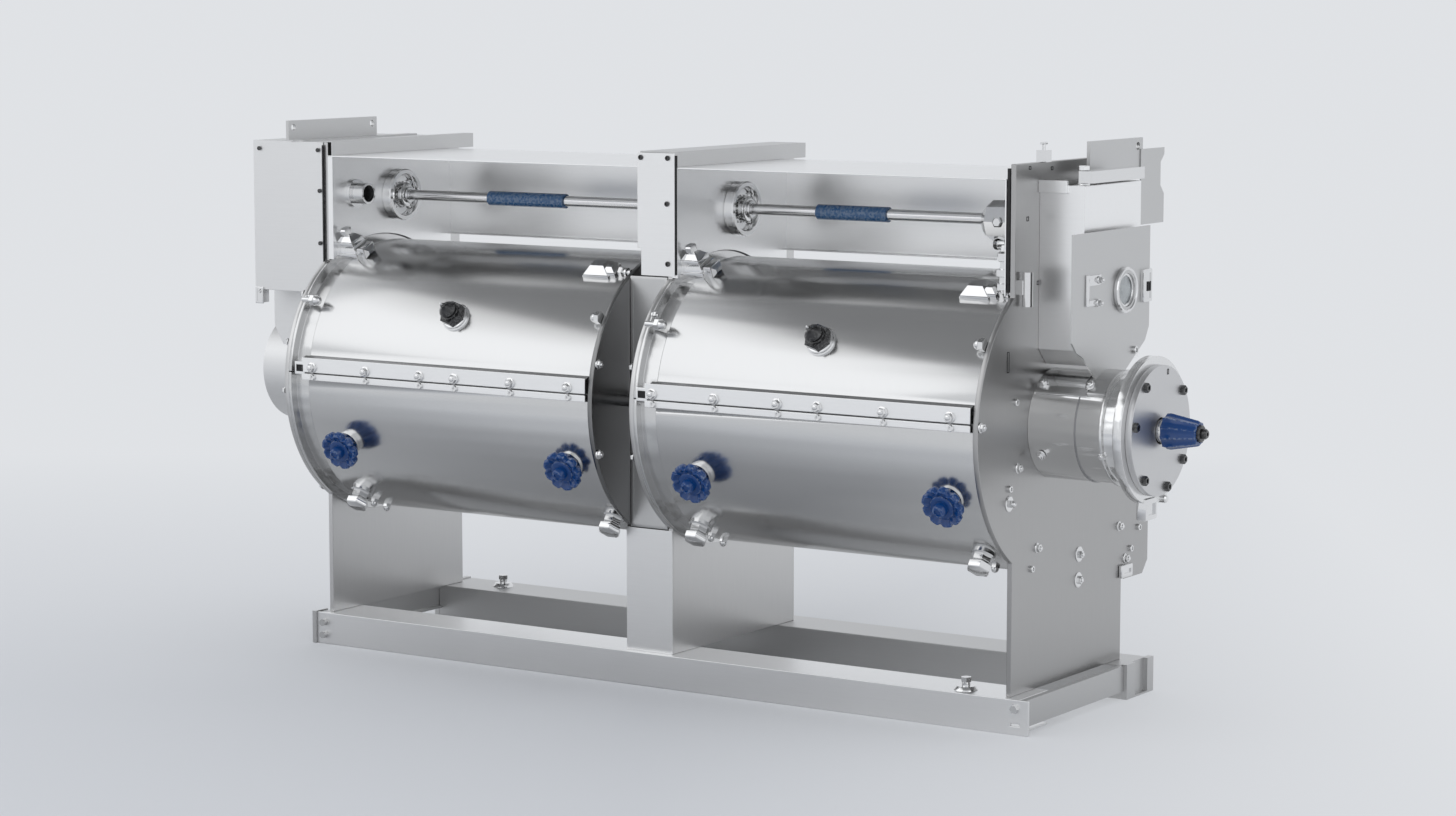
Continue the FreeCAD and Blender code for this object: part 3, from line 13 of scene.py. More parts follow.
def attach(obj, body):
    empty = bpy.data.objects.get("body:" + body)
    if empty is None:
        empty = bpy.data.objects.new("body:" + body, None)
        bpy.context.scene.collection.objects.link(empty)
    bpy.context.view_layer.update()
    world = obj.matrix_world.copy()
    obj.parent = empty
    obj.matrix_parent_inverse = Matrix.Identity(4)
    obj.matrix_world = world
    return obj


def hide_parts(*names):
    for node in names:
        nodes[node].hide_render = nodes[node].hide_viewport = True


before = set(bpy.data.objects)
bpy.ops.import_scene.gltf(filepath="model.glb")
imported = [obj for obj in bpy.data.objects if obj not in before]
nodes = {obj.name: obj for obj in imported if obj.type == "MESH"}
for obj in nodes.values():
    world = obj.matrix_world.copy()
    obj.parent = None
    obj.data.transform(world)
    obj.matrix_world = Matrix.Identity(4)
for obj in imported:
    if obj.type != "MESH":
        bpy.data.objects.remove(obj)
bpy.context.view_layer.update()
MM = 0.001
bpy.context.scene.view_settings.view_transform = "Standard"
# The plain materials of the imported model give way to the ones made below, which carry the same names.
for plain in list(bpy.data.materials):
    bpy.data.materials.remove(plain)
print("CAD nodes:", len(nodes))

# %% [markdown]
# ## The camera
# The photograph was taken with a long lens, from the right of the machine's front and a little above it.
# The lens and the direction were worked out from the straight edges of the base.

# %% Set up the camera
LENS = 86.12
TILT_DOWN = 6.932
TURN_LEFT = 33.2956
camera_data = bpy.data.cameras.new("camera")
camera_data.sensor_width = 36
camera_data.lens = LENS
camera_data.clip_end = 60
camera = bpy.data.objects.new("camera", camera_data)
bpy.context.scene.collection.objects.link(camera)
camera.location = (4.3729, -6.60992, 1.56606)
camera.rotation_euler = (math.radians(90 - TILT_DOWN), 0, math.radians(TURN_LEFT))
bpy.context.scene.camera = camera
print("camera:", tuple(round(place, 3) for place in camera.location), "lens", LENS)

# %% [markdown]
# ## Shader maths
# A node tree is easier to read as sums than as boxes and wires. The class below wraps one socket, so that
# an expression on it adds the Math nodes, and one method adds any other node.


# %% A socket that can be reckoned with
class Wire:
    def __init__(self, tree, socket):
        self.tree = tree
        self.socket = socket

    def node(self, kind, settings=None, **inputs):
        """Any node: its settings first, then the values or links of its sockets."""
        made = self.tree.nodes.new(kind)
        for name, value in (settings or {}).items():
            if name == "stops":
                ramp = made.color_ramp.elements
                while len(ramp) < len(value):
                    ramp.new(0.5)
                for stop, (place, tone) in zip(ramp, value):
                    stop.position = place
                    stop.color = (tone, tone, tone, 1)
            else:
                setattr(made, name, value)
        for name, value in inputs.items():
            key = int(name[1:]) if name[0] == "i" and name[1:].isdigit() else name.replace("_", " ")
            socket = made.inputs[key]
            if isinstance(value, Wire):
                self.tree.links.new(value.socket, socket)
            else:
                socket.default_value = value
        return made

    def out(self, kind, settings=None, output=0, **inputs):
        return Wire(self.tree, self.node(kind, settings, **inputs).outputs[output])

    def sum(self, operation, first, second):
        return self.out("ShaderNodeMath", {"operation": operation}, i0=first, i1=second)

    def __add__(self, other):
        return self.sum("ADD", self, other)

    def __mul__(self, other):
        return self.sum("MULTIPLY", self, other)


# %% [markdown]
# ## Satin steel
# Rolled and polished sheet isn't one grey. Its grain runs one way, so its gloss changes in fine streaks,
# and handling leaves broad, faint clouds. Both feed the roughness. The colour only moves a little, and a
# very slight bump breaks up the reflections.


# %% Helpers for materials
GRAIN_RELIEF = 0.0006


def new_material(name):
    """A material with its node tree, its shader and the wire that gives a place on the object."""
    material = bpy.data.materials.new(name)
    material.use_nodes = True
    tree = material.node_tree
    shader = tree.nodes["Principled BSDF"]
    place = Wire(tree, tree.nodes.new("ShaderNodeTexCoord").outputs["Object"])
    return material, tree, shader, place


def link(tree, wire, shader, socket):
    tree.links.new(wire.socket, shader.inputs[socket])


def tinted(place, base, amount, mask):
    """A base colour that a mask moves up and down by a share."""
    low = tuple(c * (1 - amount) for c in base) + (1,)
    high = tuple(min(1, c * (1 + amount)) for c in base) + (1,)
    return place.out("ShaderNodeMix", {"data_type": "RGBA"}, output=2, i0=mask, i6=low, i7=high)


def noise(place, scale, stretch=(1, 1, 1), detail=3.0):
    """Noise over the piece, finer along the axes that are stretched more."""
    stretched = place.out("ShaderNodeMapping", Vector=place, Scale=stretch)
    return place.out("ShaderNodeTexNoise", Vector=stretched, Scale=scale, Detail=detail)


def steel(name, base, roughness, grain=(1, 40, 40), grain_depth=0.06, cloud=0.05, bump=0.02):
    """Sheet or bar steel whose grain runs along the axis with the smallest stretch."""
    material, tree, shader, place = new_material(name)
    streaks = noise(place, 9.0, grain)
    clouds = noise(place, 2.2, detail=4.0)
    shader.inputs["Metallic"].default_value = 1.0
    gloss = streaks * grain_depth + clouds * (cloud * 2) + (roughness - grain_depth / 2 - cloud)
    link(tree, gloss, shader, "Roughness")
    link(tree, tinted(place, base, 0.05, streaks * 0.5 + clouds * 0.5), shader, "Base Color")
    if bump:
        relief = place.out("ShaderNodeBump", Strength=bump, Distance=GRAIN_RELIEF, Height=streaks)
        link(tree, relief, shader, "Normal")


# %% Make the steels
UPRIGHT = (25, 25, 2)
WRAPPED = (60, 3, 3)
steel("rail_steel", (0.93, 0.93, 0.93), 0.33, cloud=0.04)
steel("plate_steel", (0.66, 0.657, 0.653), 0.31, UPRIGHT, grain_depth=0.012, bump=0)
# Painted shade: the plate steel made darker for the right end plate, standing in for the shade on that side.
steel("painted_shade_plate_steel", (0.46, 0.457, 0.454), 0.31, UPRIGHT, grain_depth=0.012, bump=0)
steel("post_steel", (0.90, 0.90, 0.898), 0.36, cloud=0.03, bump=0.01)
# Painted shade: a dark steel for the middle disc and the spacers, standing in for the shade in the gap
# between the drums.
steel("painted_shade_ring_steel", (0.25, 0.25, 0.25), 0.24, grain=(40, 40, 1))
steel("hood_steel", (0.97, 0.97, 0.967), 0.29, grain=(2, 25, 25), grain_depth=0.015, cloud=0.02, bump=0)
steel("panel_steel", (0.62, 0.62, 0.618), 0.36, cloud=0.03, bump=0.01)
steel("case_steel", (0.80, 0.80, 0.80), 0.46, cloud=0.02, bump=0.01)
steel("drum_steel", (0.70, 0.70, 0.698), 0.20, WRAPPED, grain_depth=0.04, cloud=0.03)
steel("tube_steel", (0.84, 0.84, 0.838), 0.20, WRAPPED, grain_depth=0.04, cloud=0.03)
steel("cover_steel", (0.66, 0.66, 0.665), 0.36, grain=(3, 40, 40), grain_depth=0.04, cloud=0.02)
steel("shaft_steel", (0.80, 0.80, 0.80), 0.20, grain=(80, 2, 2), cloud=0.02)
steel("bright_metal", (0.82, 0.82, 0.82), 0.08, grain=(20, 20, 20), grain_depth=0.04, cloud=0.03, bump=0)
steel("cast_metal", (0.36, 0.36, 0.37), 0.5, grain=(30, 30, 30), bump=0.2)
print("steels:", len(bpy.data.materials))

# %% [markdown]
# ## Plastics and rubber
# The blue knobs and sleeves are moulded and handled, so their raised edges are paler and duller.
# Pointiness finds those edges from the mesh itself, and fine noise breaks the wear into flecks.


# %% Make the plastics
def plastic(name, base, worn, roughness, wear, coat=0.0, edge_at=(0.50, 0.56)):
    """Moulded plastic or rubber. Wear shows where the mesh is sharper than edge_at."""
    material, tree, shader, place = new_material(name)
    edge = place.out("ShaderNodeNewGeometry", output=7)
    patchy = noise(place, 60.0, detail=5.0)
    flecks = place.out("ShaderNodeValToRGB", {"stops": [(0.46, 0.0), (0.60, 1.0)]}, Fac=noise(place, 160.0))
    raised = place.out("ShaderNodeValToRGB", {"stops": [(edge_at[0], 0.0), (edge_at[1], 1.0)]}, Fac=edge)
    mask = raised * flecks * wear
    colour = place.out("ShaderNodeMix", {"data_type": "RGBA"}, output=2, i0=mask, i6=base + (1,),
                       i7=worn + (1,))
    link(tree, colour, shader, "Base Color")
    link(tree, patchy * 0.12 + mask * 0.2 + (roughness - 0.06), shader, "Roughness")
    shader.inputs["Coat Weight"].default_value = coat
    shader.inputs["Coat Roughness"].default_value = 0.12


plastic("blue_plastic", (0.002, 0.045, 0.19), (0.42, 0.50, 0.60), 0.19, 0.75, coat=0.3,
        edge_at=(0.54, 0.62))
plastic("blue_sleeve", (0.030, 0.110, 0.26), (0.30, 0.38, 0.48), 0.28, 0.35, coat=0.4)
plastic("black_plastic", (0.010, 0.010, 0.011), (0.10, 0.10, 0.10), 0.20, 0.6, coat=0.6)
plastic("pale_rubber", (0.30, 0.30, 0.305), (0.42, 0.42, 0.42), 0.5, 0.2)
# Black rubber for the seals and the belt. The same black also fills gaps, holes, slots and grooves as
# painted shade.
plastic("seal_rubber", (0.012, 0.012, 0.013), (0.05, 0.05, 0.05), 0.7, 0.2)
print("steels and plastics:", len(bpy.data.materials))

# %% [markdown]
# ## Glass
# The sight glass is a thick clear disc. A glass shader with a faint tint, and a little smear in its
# gloss, is enough at this distance.

# %% Make the glass
window_glass, glass_tree, glass_shader, glass_place = new_material("window_glass")
GLASS_TINT = (0.78, 0.82, 0.84)
glass_shader.inputs["Transmission Weight"].default_value = 0.85
glass_shader.inputs["IOR"].default_value = 1.45
link(glass_tree, noise(glass_place, 14.0, detail=4.0) * 0.08 + 0.02, glass_shader, "Roughness")
link(glass_tree, tinted(glass_place, GLASS_TINT, 0.04, noise(glass_place, 6.0)), glass_shader, "Base Color")
print("glass:", window_glass.name)

# %% [markdown]
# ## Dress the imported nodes
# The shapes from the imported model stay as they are. Each one gets its finish here, and the nodes with
# sharp corners also get a small bevel as a modifier, 0.8 or 1.6 mm wide, because an edge without one
# never catches the light.

# %% Give every CAD node its finish
FINISHES = {
    "rail_steel": ("front_rail",),
    "plate_steel": ("left_end_plate", "mid_plate_two"),
    "painted_shade_plate_steel": ("right_end_plate",),
    "post_steel": ("centre_post", "leg_covers"),
    "painted_shade_ring_steel": ("mid_plate_one", "disc_spacers"),
    "hood_steel": ("hood_one", "hood_two", "liners", "feed_duct"),
    "panel_steel": (
        "cap_channels", "guard_plate", "rear_rail", "cross_rails", "corner_brackets",
        "rear_upper_panel", "left_lifting_bar", "right_lifting_bar", "discharge_spout",
    ),
    "case_steel": ("left_case", "left_case_cover", "belt_guard"),
    "tube_steel": ("bearing_tube",),
    "cover_steel": ("cover_disc",),
    "drum_steel": ("drum_one_upper", "drum_one_lower", "drum_two_upper", "drum_two_lower"),
    "shaft_steel": ("rotor_shaft", "paddles_one", "paddles_two", "upper_shaft"),
    "bright_metal": (
        "hold_down_clamps", "band_bolts", "port_stems", "top_fittings", "drain_plugs", "flange_bearings",
        "right_bearing_block", "small_fittings", "latch_arm", "rotor_bearings",
    ),
    "blue_plastic": ("port_knob_1", "port_knob_2", "port_knob_3", "port_knob_4", "cone_knob"),
    "blue_sleeve": ("shaft_sleeves",),
    "black_plastic": ("sensor_glands", "cover_bolts", "case_screws", "cone_tip"),
    "pale_rubber": ("split_gaskets",),
    "seal_rubber": ("shaft_seals", "drive_belt"),
    "window_glass": ("sight_glass",),
    "cast_metal": ("lower_pulley", "upper_pulley"),
}
for finish, names in FINISHES.items():
    for name in names:
        mesh = nodes[name].data
        mesh.materials.clear()
        mesh.materials.append(bpy.data.materials[finish])
dressed = {name for names in FINISHES.values() for name in names}
print("without a finish:", sorted(set(nodes) - dressed))

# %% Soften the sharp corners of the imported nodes
SHARP = math.radians(35)
DOUBLE = 0.01
SOFTENED = {
    0.8: (
        "hood_one", "hood_two", "liners", "left_case", "left_case_cover", "guard_plate", "rear_upper_panel",
        "cap_channels", "centre_post", "leg_covers", "latch_arm", "case_screws",
    ),
    1.6: (
        "front_rail", "rear_rail", "cross_rails", "left_end_plate", "mid_plate_one", "mid_plate_two",
        "right_end_plate", "drum_one_upper", "drum_one_lower", "drum_two_upper", "drum_two_lower",
        "bearing_tube", "cover_disc", "feed_duct", "hold_down_clamps", "corner_brackets",
    ),
}
for width, names in SOFTENED.items():
    for name in names:
        nodes[name].modifiers.new("welded", "WELD").merge_threshold = DOUBLE * MM
        bevel = nodes[name].modifiers.new("softened", "BEVEL")
        bevel.width = width * MM
        bevel.segments = 2
        bevel.limit_method = "ANGLE"
        bevel.angle_limit = SHARP
        bevel.harden_normals = True
print("softened:", sum(len(names) for names in SOFTENED.values()))

# %% [markdown]
# ## Modelling by hand, in code
# Most small parts of a machine are turned or cut from a block. A turned piece starts as a circle, which
# is pulled out along X one step at a time, with a resize at each step. A block starts as a cube with its
# edges broken, and its faces are then sunk or raised. All lengths are given in mm.


# %% Turn a piece
def clear():
    """Leave edit mode with nothing selected."""
    if bpy.context.object and bpy.context.object.mode != "OBJECT":
        bpy.ops.object.mode_set(mode="OBJECT")
    bpy.ops.object.select_all(action="DESELECT")


def circle_at(x, radius, sides, fill):
    """A circle about the X axis, at a place along it."""
    clear()
    bpy.ops.mesh.primitive_circle_add(vertices=sides, radius=radius * MM, fill_type=fill,
                                      location=(x * MM, 0, 0), rotation=(0, math.pi / 2, 0))
    bpy.ops.object.transform_apply(location=True, rotation=True, scale=True)
    return bpy.context.active_object


def pull(profile):
    """Extrude the active circle along a profile, and leave edit mode with everything selected."""
    (x, radius), steps = profile[0], profile[1:]
    bpy.ops.object.mode_set(mode="EDIT")
    bpy.ops.mesh.select_all(action="SELECT")
    for next_x, next_radius in steps:
        bpy.ops.mesh.extrude_region_move(TRANSFORM_OT_translate={"value": ((next_x - x) * MM, 0, 0)})
        share = next_radius / radius
        bpy.ops.transform.resize(value=(1, share, share), center_override=(next_x * MM, 0, 0))
        x, radius = next_x, next_radius
    bpy.ops.mesh.select_all(action="SELECT")


def turned(profile, sides=24, scallop=None):
    """Turn a piece about the X axis. The profile lists (place along X, radius)."""
    piece = circle_at(*profile[0], sides, "NGON")
    if scallop:
        for vertex in piece.data.vertices:
            share = scallop(math.atan2(vertex.co.z, vertex.co.y))
            vertex.co.y *= share
            vertex.co.z *= share
    pull(profile)
    bpy.ops.mesh.normals_make_consistent(inside=False)
    bpy.ops.object.mode_set(mode="OBJECT")
    return piece


def turned_ring(profile, sides=48):
    """A hollow turned piece. The profile closes on itself."""
    piece = circle_at(*profile[0], sides, "NOTHING")
    bpy.context.tool_settings.mesh_select_mode = (True, False, False)
    pull(profile + profile[:1])
    bpy.ops.mesh.remove_doubles(threshold=DOUBLE * MM)
    bpy.ops.mesh.normals_make_consistent(inside=False)
    bpy.ops.object.mode_set(mode="OBJECT")
    return piece


# %% Cut and shape a block
LOOKS_THAT_WAY = 0.98


def block(low, high, edge):
    """A block between two corners, with its edges broken."""
    clear()
    middle = [(a + b) / 2 * MM for a, b in zip(low, high)]
    size = [(b - a) * MM for a, b in zip(low, high)]
    bpy.ops.mesh.primitive_cube_add(size=1, location=middle, scale=size)
    piece = bpy.context.active_object
    bpy.ops.object.transform_apply(location=True, rotation=True, scale=True)
    bpy.ops.object.mode_set(mode="EDIT")
    bpy.ops.mesh.select_all(action="SELECT")
    bpy.ops.mesh.bevel(offset=edge * MM, segments=2, affect="EDGES")
    bpy.ops.object.mode_set(mode="OBJECT")
    return piece


def push(piece, direction, margin, depth):
    """Inset the largest face that looks in a direction, then move it along that direction."""
    clear()
    piece.select_set(True)
    bpy.context.view_layer.objects.active = piece
    bpy.context.tool_settings.mesh_select_mode = (False, False, True)
    way = Vector(direction)
    facing = [face for face in piece.data.polygons if face.normal.dot(way) > LOOKS_THAT_WAY]
    chosen = max(facing, key=lambda face: face.area).index
    bpy.ops.object.mode_set(mode="EDIT")
    bpy.ops.mesh.select_all(action="DESELECT")
    bpy.ops.object.mode_set(mode="OBJECT")
    piece.data.polygons[chosen].select = True
    bpy.ops.object.mode_set(mode="EDIT")
    bpy.ops.mesh.inset(thickness=margin * MM, depth=0)
    bpy.ops.mesh.extrude_region_move(TRANSFORM_OT_translate={"value": tuple(way * depth * MM)})
    bpy.ops.object.mode_set(mode="OBJECT")
    return piece


def slope(piece, direction, margin, height):
    """Raise the largest face that looks in a direction, with sloping sides all round."""
    push(piece, direction, 0.01, 0.01)
    bpy.ops.object.mode_set(mode="EDIT")
    bpy.ops.mesh.inset(thickness=margin * MM, depth=height * MM)
    bpy.ops.object.mode_set(mode="OBJECT")
    return piece


# %% [markdown]
# ## Placing and joining
# Most places on this machine are told by a point along the lower shaft, an angle round it and a distance
# from it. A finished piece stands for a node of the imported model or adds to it, and it moves with one
# body.

# %% Place a piece
SHAFT_Y, SHAFT_Z = -76, 640
UPPER_Y, UPPER_Z = -10, 1063
FRONT, BACK, RIGHT, UP = (0, -1, 0), (0, 1, 0), (1, 0, 0), (0, 0, 1)
RIGHT_WAY = Vector(RIGHT)


def around(x, degrees, radius):
    """A point at an angle round the lower shaft: 0 is straight back, 90 is up, 180 is the front."""
    turn = math.radians(degrees)
    return (x, SHAFT_Y + radius * math.cos(turn), SHAFT_Z + radius * math.sin(turn))


def outward(degrees):
    """The direction away from the lower shaft at an angle round it."""
    turn = math.radians(degrees)
    return (0, math.cos(turn), math.sin(turn))


def aim(point, direction, roll=0.0):
    """The matrix that takes a piece modelled along +X to a point and turns it to a direction."""
    turn = RIGHT_WAY.rotation_difference(Vector(direction).normalized())
    rolled = Matrix.Rotation(roll, 4, "X")
    return Matrix.Translation(Vector(point) * MM) @ turn.to_matrix().to_4x4() @ rolled


def perch(x, degrees, radius):
    """The matrix of a fitting on a drum: its X points outwards and its Y runs along the machine."""
    out_way = Vector(outward(degrees))
    matrix = Matrix.Identity(4)
    for column, axis in enumerate((out_way, RIGHT_WAY, out_way.cross(RIGHT_WAY))):
        matrix.col[column][:3] = axis
    return Matrix.Translation(Vector(around(x, degrees, radius)) * MM) @ matrix


def moved(piece, place, along=RIGHT):
    """Turn a piece that was modelled about +X and move it."""
    piece.data.transform(aim(place, along))
    return piece


def on_shaft(piece):
    """Move a piece that was turned about the X axis to the lower shaft."""
    piece.data.transform(Matrix.Translation((0, SHAFT_Y * MM, SHAFT_Z * MM)))
    return piece


# %% Copy, join and settle
def copies(master, matrices):
    """Copies of one piece, each with its own mesh, moved to their places. The master is deleted."""
    made = []
    for matrix in matrices:
        copy = master.copy()
        copy.data = master.data.copy()
        copy.data.transform(matrix)
        bpy.context.scene.collection.objects.link(copy)
        made.append(copy)
    bpy.data.objects.remove(master)
    return made


def joined(parts):
    """Join the parts into one piece."""
    clear()
    for part in parts:
        part.select_set(True)
    bpy.context.view_layer.objects.active = parts[0]
    if len(parts) > 1:
        bpy.ops.object.join()
    return bpy.context.active_object


def settle(name, parts, finish, body="machine", instead=()):
    """Join the parts into one piece, give it its finish and let it ride on its body."""
    piece = joined(parts)
    piece.name = name
    piece.data.name = name
    piece.data.materials.clear()
    piece.data.materials.append(bpy.data.materials[finish])
    bpy.ops.object.shade_smooth_by_angle(angle=SHARP)
    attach(piece, body)
    if instead:
        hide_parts(*instead)
    print(f"{name}: {len(parts)} parts, {len(piece.data.polygons)} faces, rides on {body}")


# %% [markdown]
# ## Screws and nuts
# Three kinds of fastener serve the whole machine. A flange nut has a thin washer, a hexagon and the
# rounded end of its stud. A cap screw has a socket sunk into it. A cap nut is a hexagon with a dome, and
# its highlight is what the eye finds first.


# %% Turn the fasteners
def flange_nut(radius):
    washer = turned([(0, radius * 1.22), (1.6, radius * 1.22), (2.6, radius * 1.08)])
    head = turned([(2.4, radius), (8, radius), (9.4, radius * 0.86)], sides=6)
    stud = turned([(8, radius * 0.52), (11.4, radius * 0.52), (12.4, radius * 0.38)], sides=16)
    return joined([washer, head, stud])


def cap_screw(radius, height):
    return turned([(0, radius), (height - 1, radius), (height, radius * 0.86), (height, radius * 0.52),
                   (height * 0.35, radius * 0.5)], sides=18)


def cap_nut(radius):
    hexagon = turned([(0, radius), (radius * 0.8, radius), (radius * 0.95, radius * 0.86)], sides=6)
    dome = turned([
        (radius * 0.9, radius * 0.84), (radius * 1.25, radius * 0.8), (radius * 1.6, radius * 0.62),
        (radius * 1.82, radius * 0.34), (radius * 1.88, radius * 0.06),
    ], sides=20)
    return joined([hexagon, dome])


# %% [markdown]
# ## Screws along the bands
# Each drum is split, and a band with screws holds its halves together. A large flange nut stands at each
# place, with a small cap screw below it.

# %% Lay the bands and set their screws
BAND_FACE = -411.2
BAND_BACK = -409.4
band_plates = []
for start, end in ((-886, -76), (84, 896)):
    for low, high in ((670, 704), (652, 666)):
        plate = block((start, BAND_FACE, low), (end, BAND_BACK, high), 0.5)
        band_plates.append(push(plate, FRONT, 1.2, -0.2))
settle("band_plates", band_plates, "hood_steel")
BAND_SPOTS = (-856, -698, -540, -440, -282, -124, 104, 265, 426, 526, 687, 848)
large = copies(flange_nut(10.5), [
    aim((x, BAND_FACE, 681), FRONT, 0.3 * index) for index, x in enumerate(BAND_SPOTS)
])
small = copies(cap_screw(7, 5), [aim((x + 3, BAND_FACE, 659), FRONT) for x in BAND_SPOTS])
settle("band_screws", large + small, "bright_metal", instead=("band_bolts",))

# %% [markdown]
# ## Fasteners on the rings
# Studs with cap nuts clamp each drum's end ring to its plate, and flange nuts stand between them.

# %% Place the nuts on the rings
LEFT, TOED = (-1, 0, 0), (1, -0.1, 0)
caps = copies(cap_nut(14), [
    aim(around(-902, 145, 336), TOED), aim(around(78, 146, 336), TOED),
    aim(around(-73, 145, 338), LEFT), aim(around(899, 146, 338), LEFT),
])
plain = copies(flange_nut(9), [
    aim(around(x, degrees, radius), way) for x, degrees, radius, way in (
        (-943, 141, 322, LEFT), (-929, 143, 324, RIGHT), (53, 141, 326, RIGHT), (-943, 163, 322, LEFT),
        (-943, 183, 322, LEFT), (-943, 233, 322, LEFT), (-59, 199, 326, RIGHT), (-59, 163, 322, RIGHT),
        (39, 163, 322, LEFT), (39, 199, 322, LEFT), (913, 176, 322, RIGHT),
    )
])
stems = copies(turned([(-30, 6.5), (4, 6.5)], sides=14), [
    aim(around(-902, 145, 336), TOED), aim(around(78, 146, 336), TOED),
])
settle("ring_nuts", caps + plain + stems, "bright_metal")

# %% Cut the slots at the ends of the bands and fill them with painted shade
sockets = []
for x in (-903, 66):
    sockets.append(push(block((x, -411.5, 671), (x + 20, -408, 687), 0.6), FRONT, 1.6, -1.2))
settle("band_end_slot_shade", sockets, "seal_rubber")
lugs = []
for x in (-908, 61):
    lugs.append(push(block((x, -410.8, 664), (x + 30, -406, 694), 0.8), FRONT, 3, -0.6))
settle("band_end_lugs", lugs, "rail_steel")

# %% [markdown]
# ## Port knobs
# The four knobs are moulded with nine deep scallops for the fingers. The starting circle gets its
# scallops first, so that every step of the extrusion keeps them. A round boss stands in the sunk face.

# %% Mould one port knob and copy it to the four ports
SCALLOPS = 9
SCALLOP_DEPTH = 0.13


def finger_grip(turn):
    """The share of the radius that is left at an angle, with full ridges between the scallops."""
    return 1 - SCALLOP_DEPTH * max(0.0, math.cos(SCALLOPS * turn)) ** 1.5


rim = turned([
    (-15, 28), (-13, 32), (-4, 37), (0, 43), (4, 46.5), (15, 47.5), (19, 45.5), (20, 41), (16, 35), (13, 31),
], sides=108, scallop=finger_grip)
hub = turned([(10, 28), (15, 27), (17, 24), (17, 16), (32, 14.5), (35, 12), (36, 8), (33, 6.5)], sides=32)
PORTS = {"port_one": -783, "port_two": -145, "port_three": 199, "port_four": 827}
PORT_ANGLE, PORT_RADIUS = 204.5, 346
knobs = copies(joined([rim, hub]), [
    aim(around(x, PORT_ANGLE, PORT_RADIUS), outward(PORT_ANGLE)) for x in PORTS.values()
])
for index, (body, piece) in enumerate(zip(PORTS, knobs), start=1):
    settle(f"knob_{body}", [piece], "blue_plastic", body=body,
           instead=(f"port_knob_{index}",))

# %% [markdown]
# ## Fluted cone and its tip
# The cone at the right end is gripped by hand, so it is fluted from its wide foot to its rim. It turns
# with the shaft, and so it rides on the rotor.

# %% Model the cone, its hub and its tip
FLUTES = 10
FLUTE_DEPTH = 0.10


def fluting(turn):
    """The share of the radius that is left at an angle."""
    return 1 - FLUTE_DEPTH * abs(math.cos(FLUTES * turn / 2))


cone = on_shaft(turned([
    (1177, 33), (1179, 37.5), (1188, 38.5), (1250, 27), (1254, 25), (1254, 20), (1248, 18),
], sides=100, scallop=fluting))
settle("cone_grip", [cone], "blue_plastic", body="rotor", instead=("cone_knob",))
hub = on_shaft(turned([(1165.5, 22), (1172, 22), (1178, 18)], sides=32))
settle("cone_hub", [hub], "bright_metal", body="rotor")
collar = on_shaft(turned([
    (1246, 18), (1259, 18), (1260.5, 16), (1260.5, 11), (1268, 11), (1271.5, 8), (1271.5, 4), (1268, 3),
], sides=32))
settle("cone_collar", [collar], "black_plastic", body="rotor", instead=("cone_tip",))

# %% [markdown]
# ## Sensor glands
# Each drum has one black sensor on its upper front. It has a bright ring at its foot, a black hexagon, a
# domed cap and a thin metal pin.

# %% Turn the glands
GLAND_ANGLE, GLAND_RADIUS = 147.5, 320
GLANDS = [aim(around(x, GLAND_ANGLE, GLAND_RADIUS), outward(GLAND_ANGLE), 0.2) for x in (-480, 497)]
nuts = copies(turned([(10, 30), (26, 31), (30, 27.5), (30, 22)], sides=6), GLANDS)
domes = copies(turned([
    (28, 22), (36, 22), (37, 19), (41, 19), (42, 21), (47, 18), (54, 11), (58, 7), (63, 6), (64, 4),
], sides=28), GLANDS)
settle("gland_bodies", nuts + domes, "black_plastic", instead=("sensor_glands",))
rings = copies(turned([(-4, 34), (3, 34), (5, 31), (9, 31), (11, 28), (11, 24)], sides=36), GLANDS)
pins = copies(turned([(60, 2.6), (72, 2.6), (73, 1.4)], sides=10), GLANDS)
settle("gland_rings", rings + pins, "bright_metal")

# %% [markdown]
# ## Flange bearings
# Two bearings carry the thin upper shaft where it enters a hood. From the front each is a deep bright
# ring with a sunk web, a boss and a locking collar. Four cap screws sit in the web.

# %% Turn the bearings
BEARINGS = (-916, 66)
bearings = copies(turned([
    (0, 60), (2, 62), (22, 62), (25, 59.5), (25, 51), (23, 49), (11, 46), (10, 32), (12, 29), (28, 27),
    (30, 25), (31, 19.5), (38, 19.5), (39.5, 18), (39.5, 13), (36, 12.8),
], sides=56), [aim((x, UPPER_Y, UPPER_Z), RIGHT) for x in BEARINGS])
SCREW_CIRCLE = 39
screws = copies(cap_screw(6.5, 6), [
    aim((x + 11, UPPER_Y + SCREW_CIRCLE * math.cos(turn), UPPER_Z + SCREW_CIRCLE * math.sin(turn)), RIGHT)
    for x in BEARINGS for turn in map(math.radians, (45, 135, 225, 315))
])
settle("bearing_rings", bearings + screws, "bright_metal", instead=("flange_bearings",))

# %% [markdown]
# ## Clamps on the drums
# At the left end of each drum stands a cast clamp: a chunky body with broad facets, a second jaw beside
# it and a screw with a hexagon head on top. At the right end a lower wedge is held by a short link and a
# nut. Broad facets on mirror-bright metal give the sharp light and dark patches that the castings have.

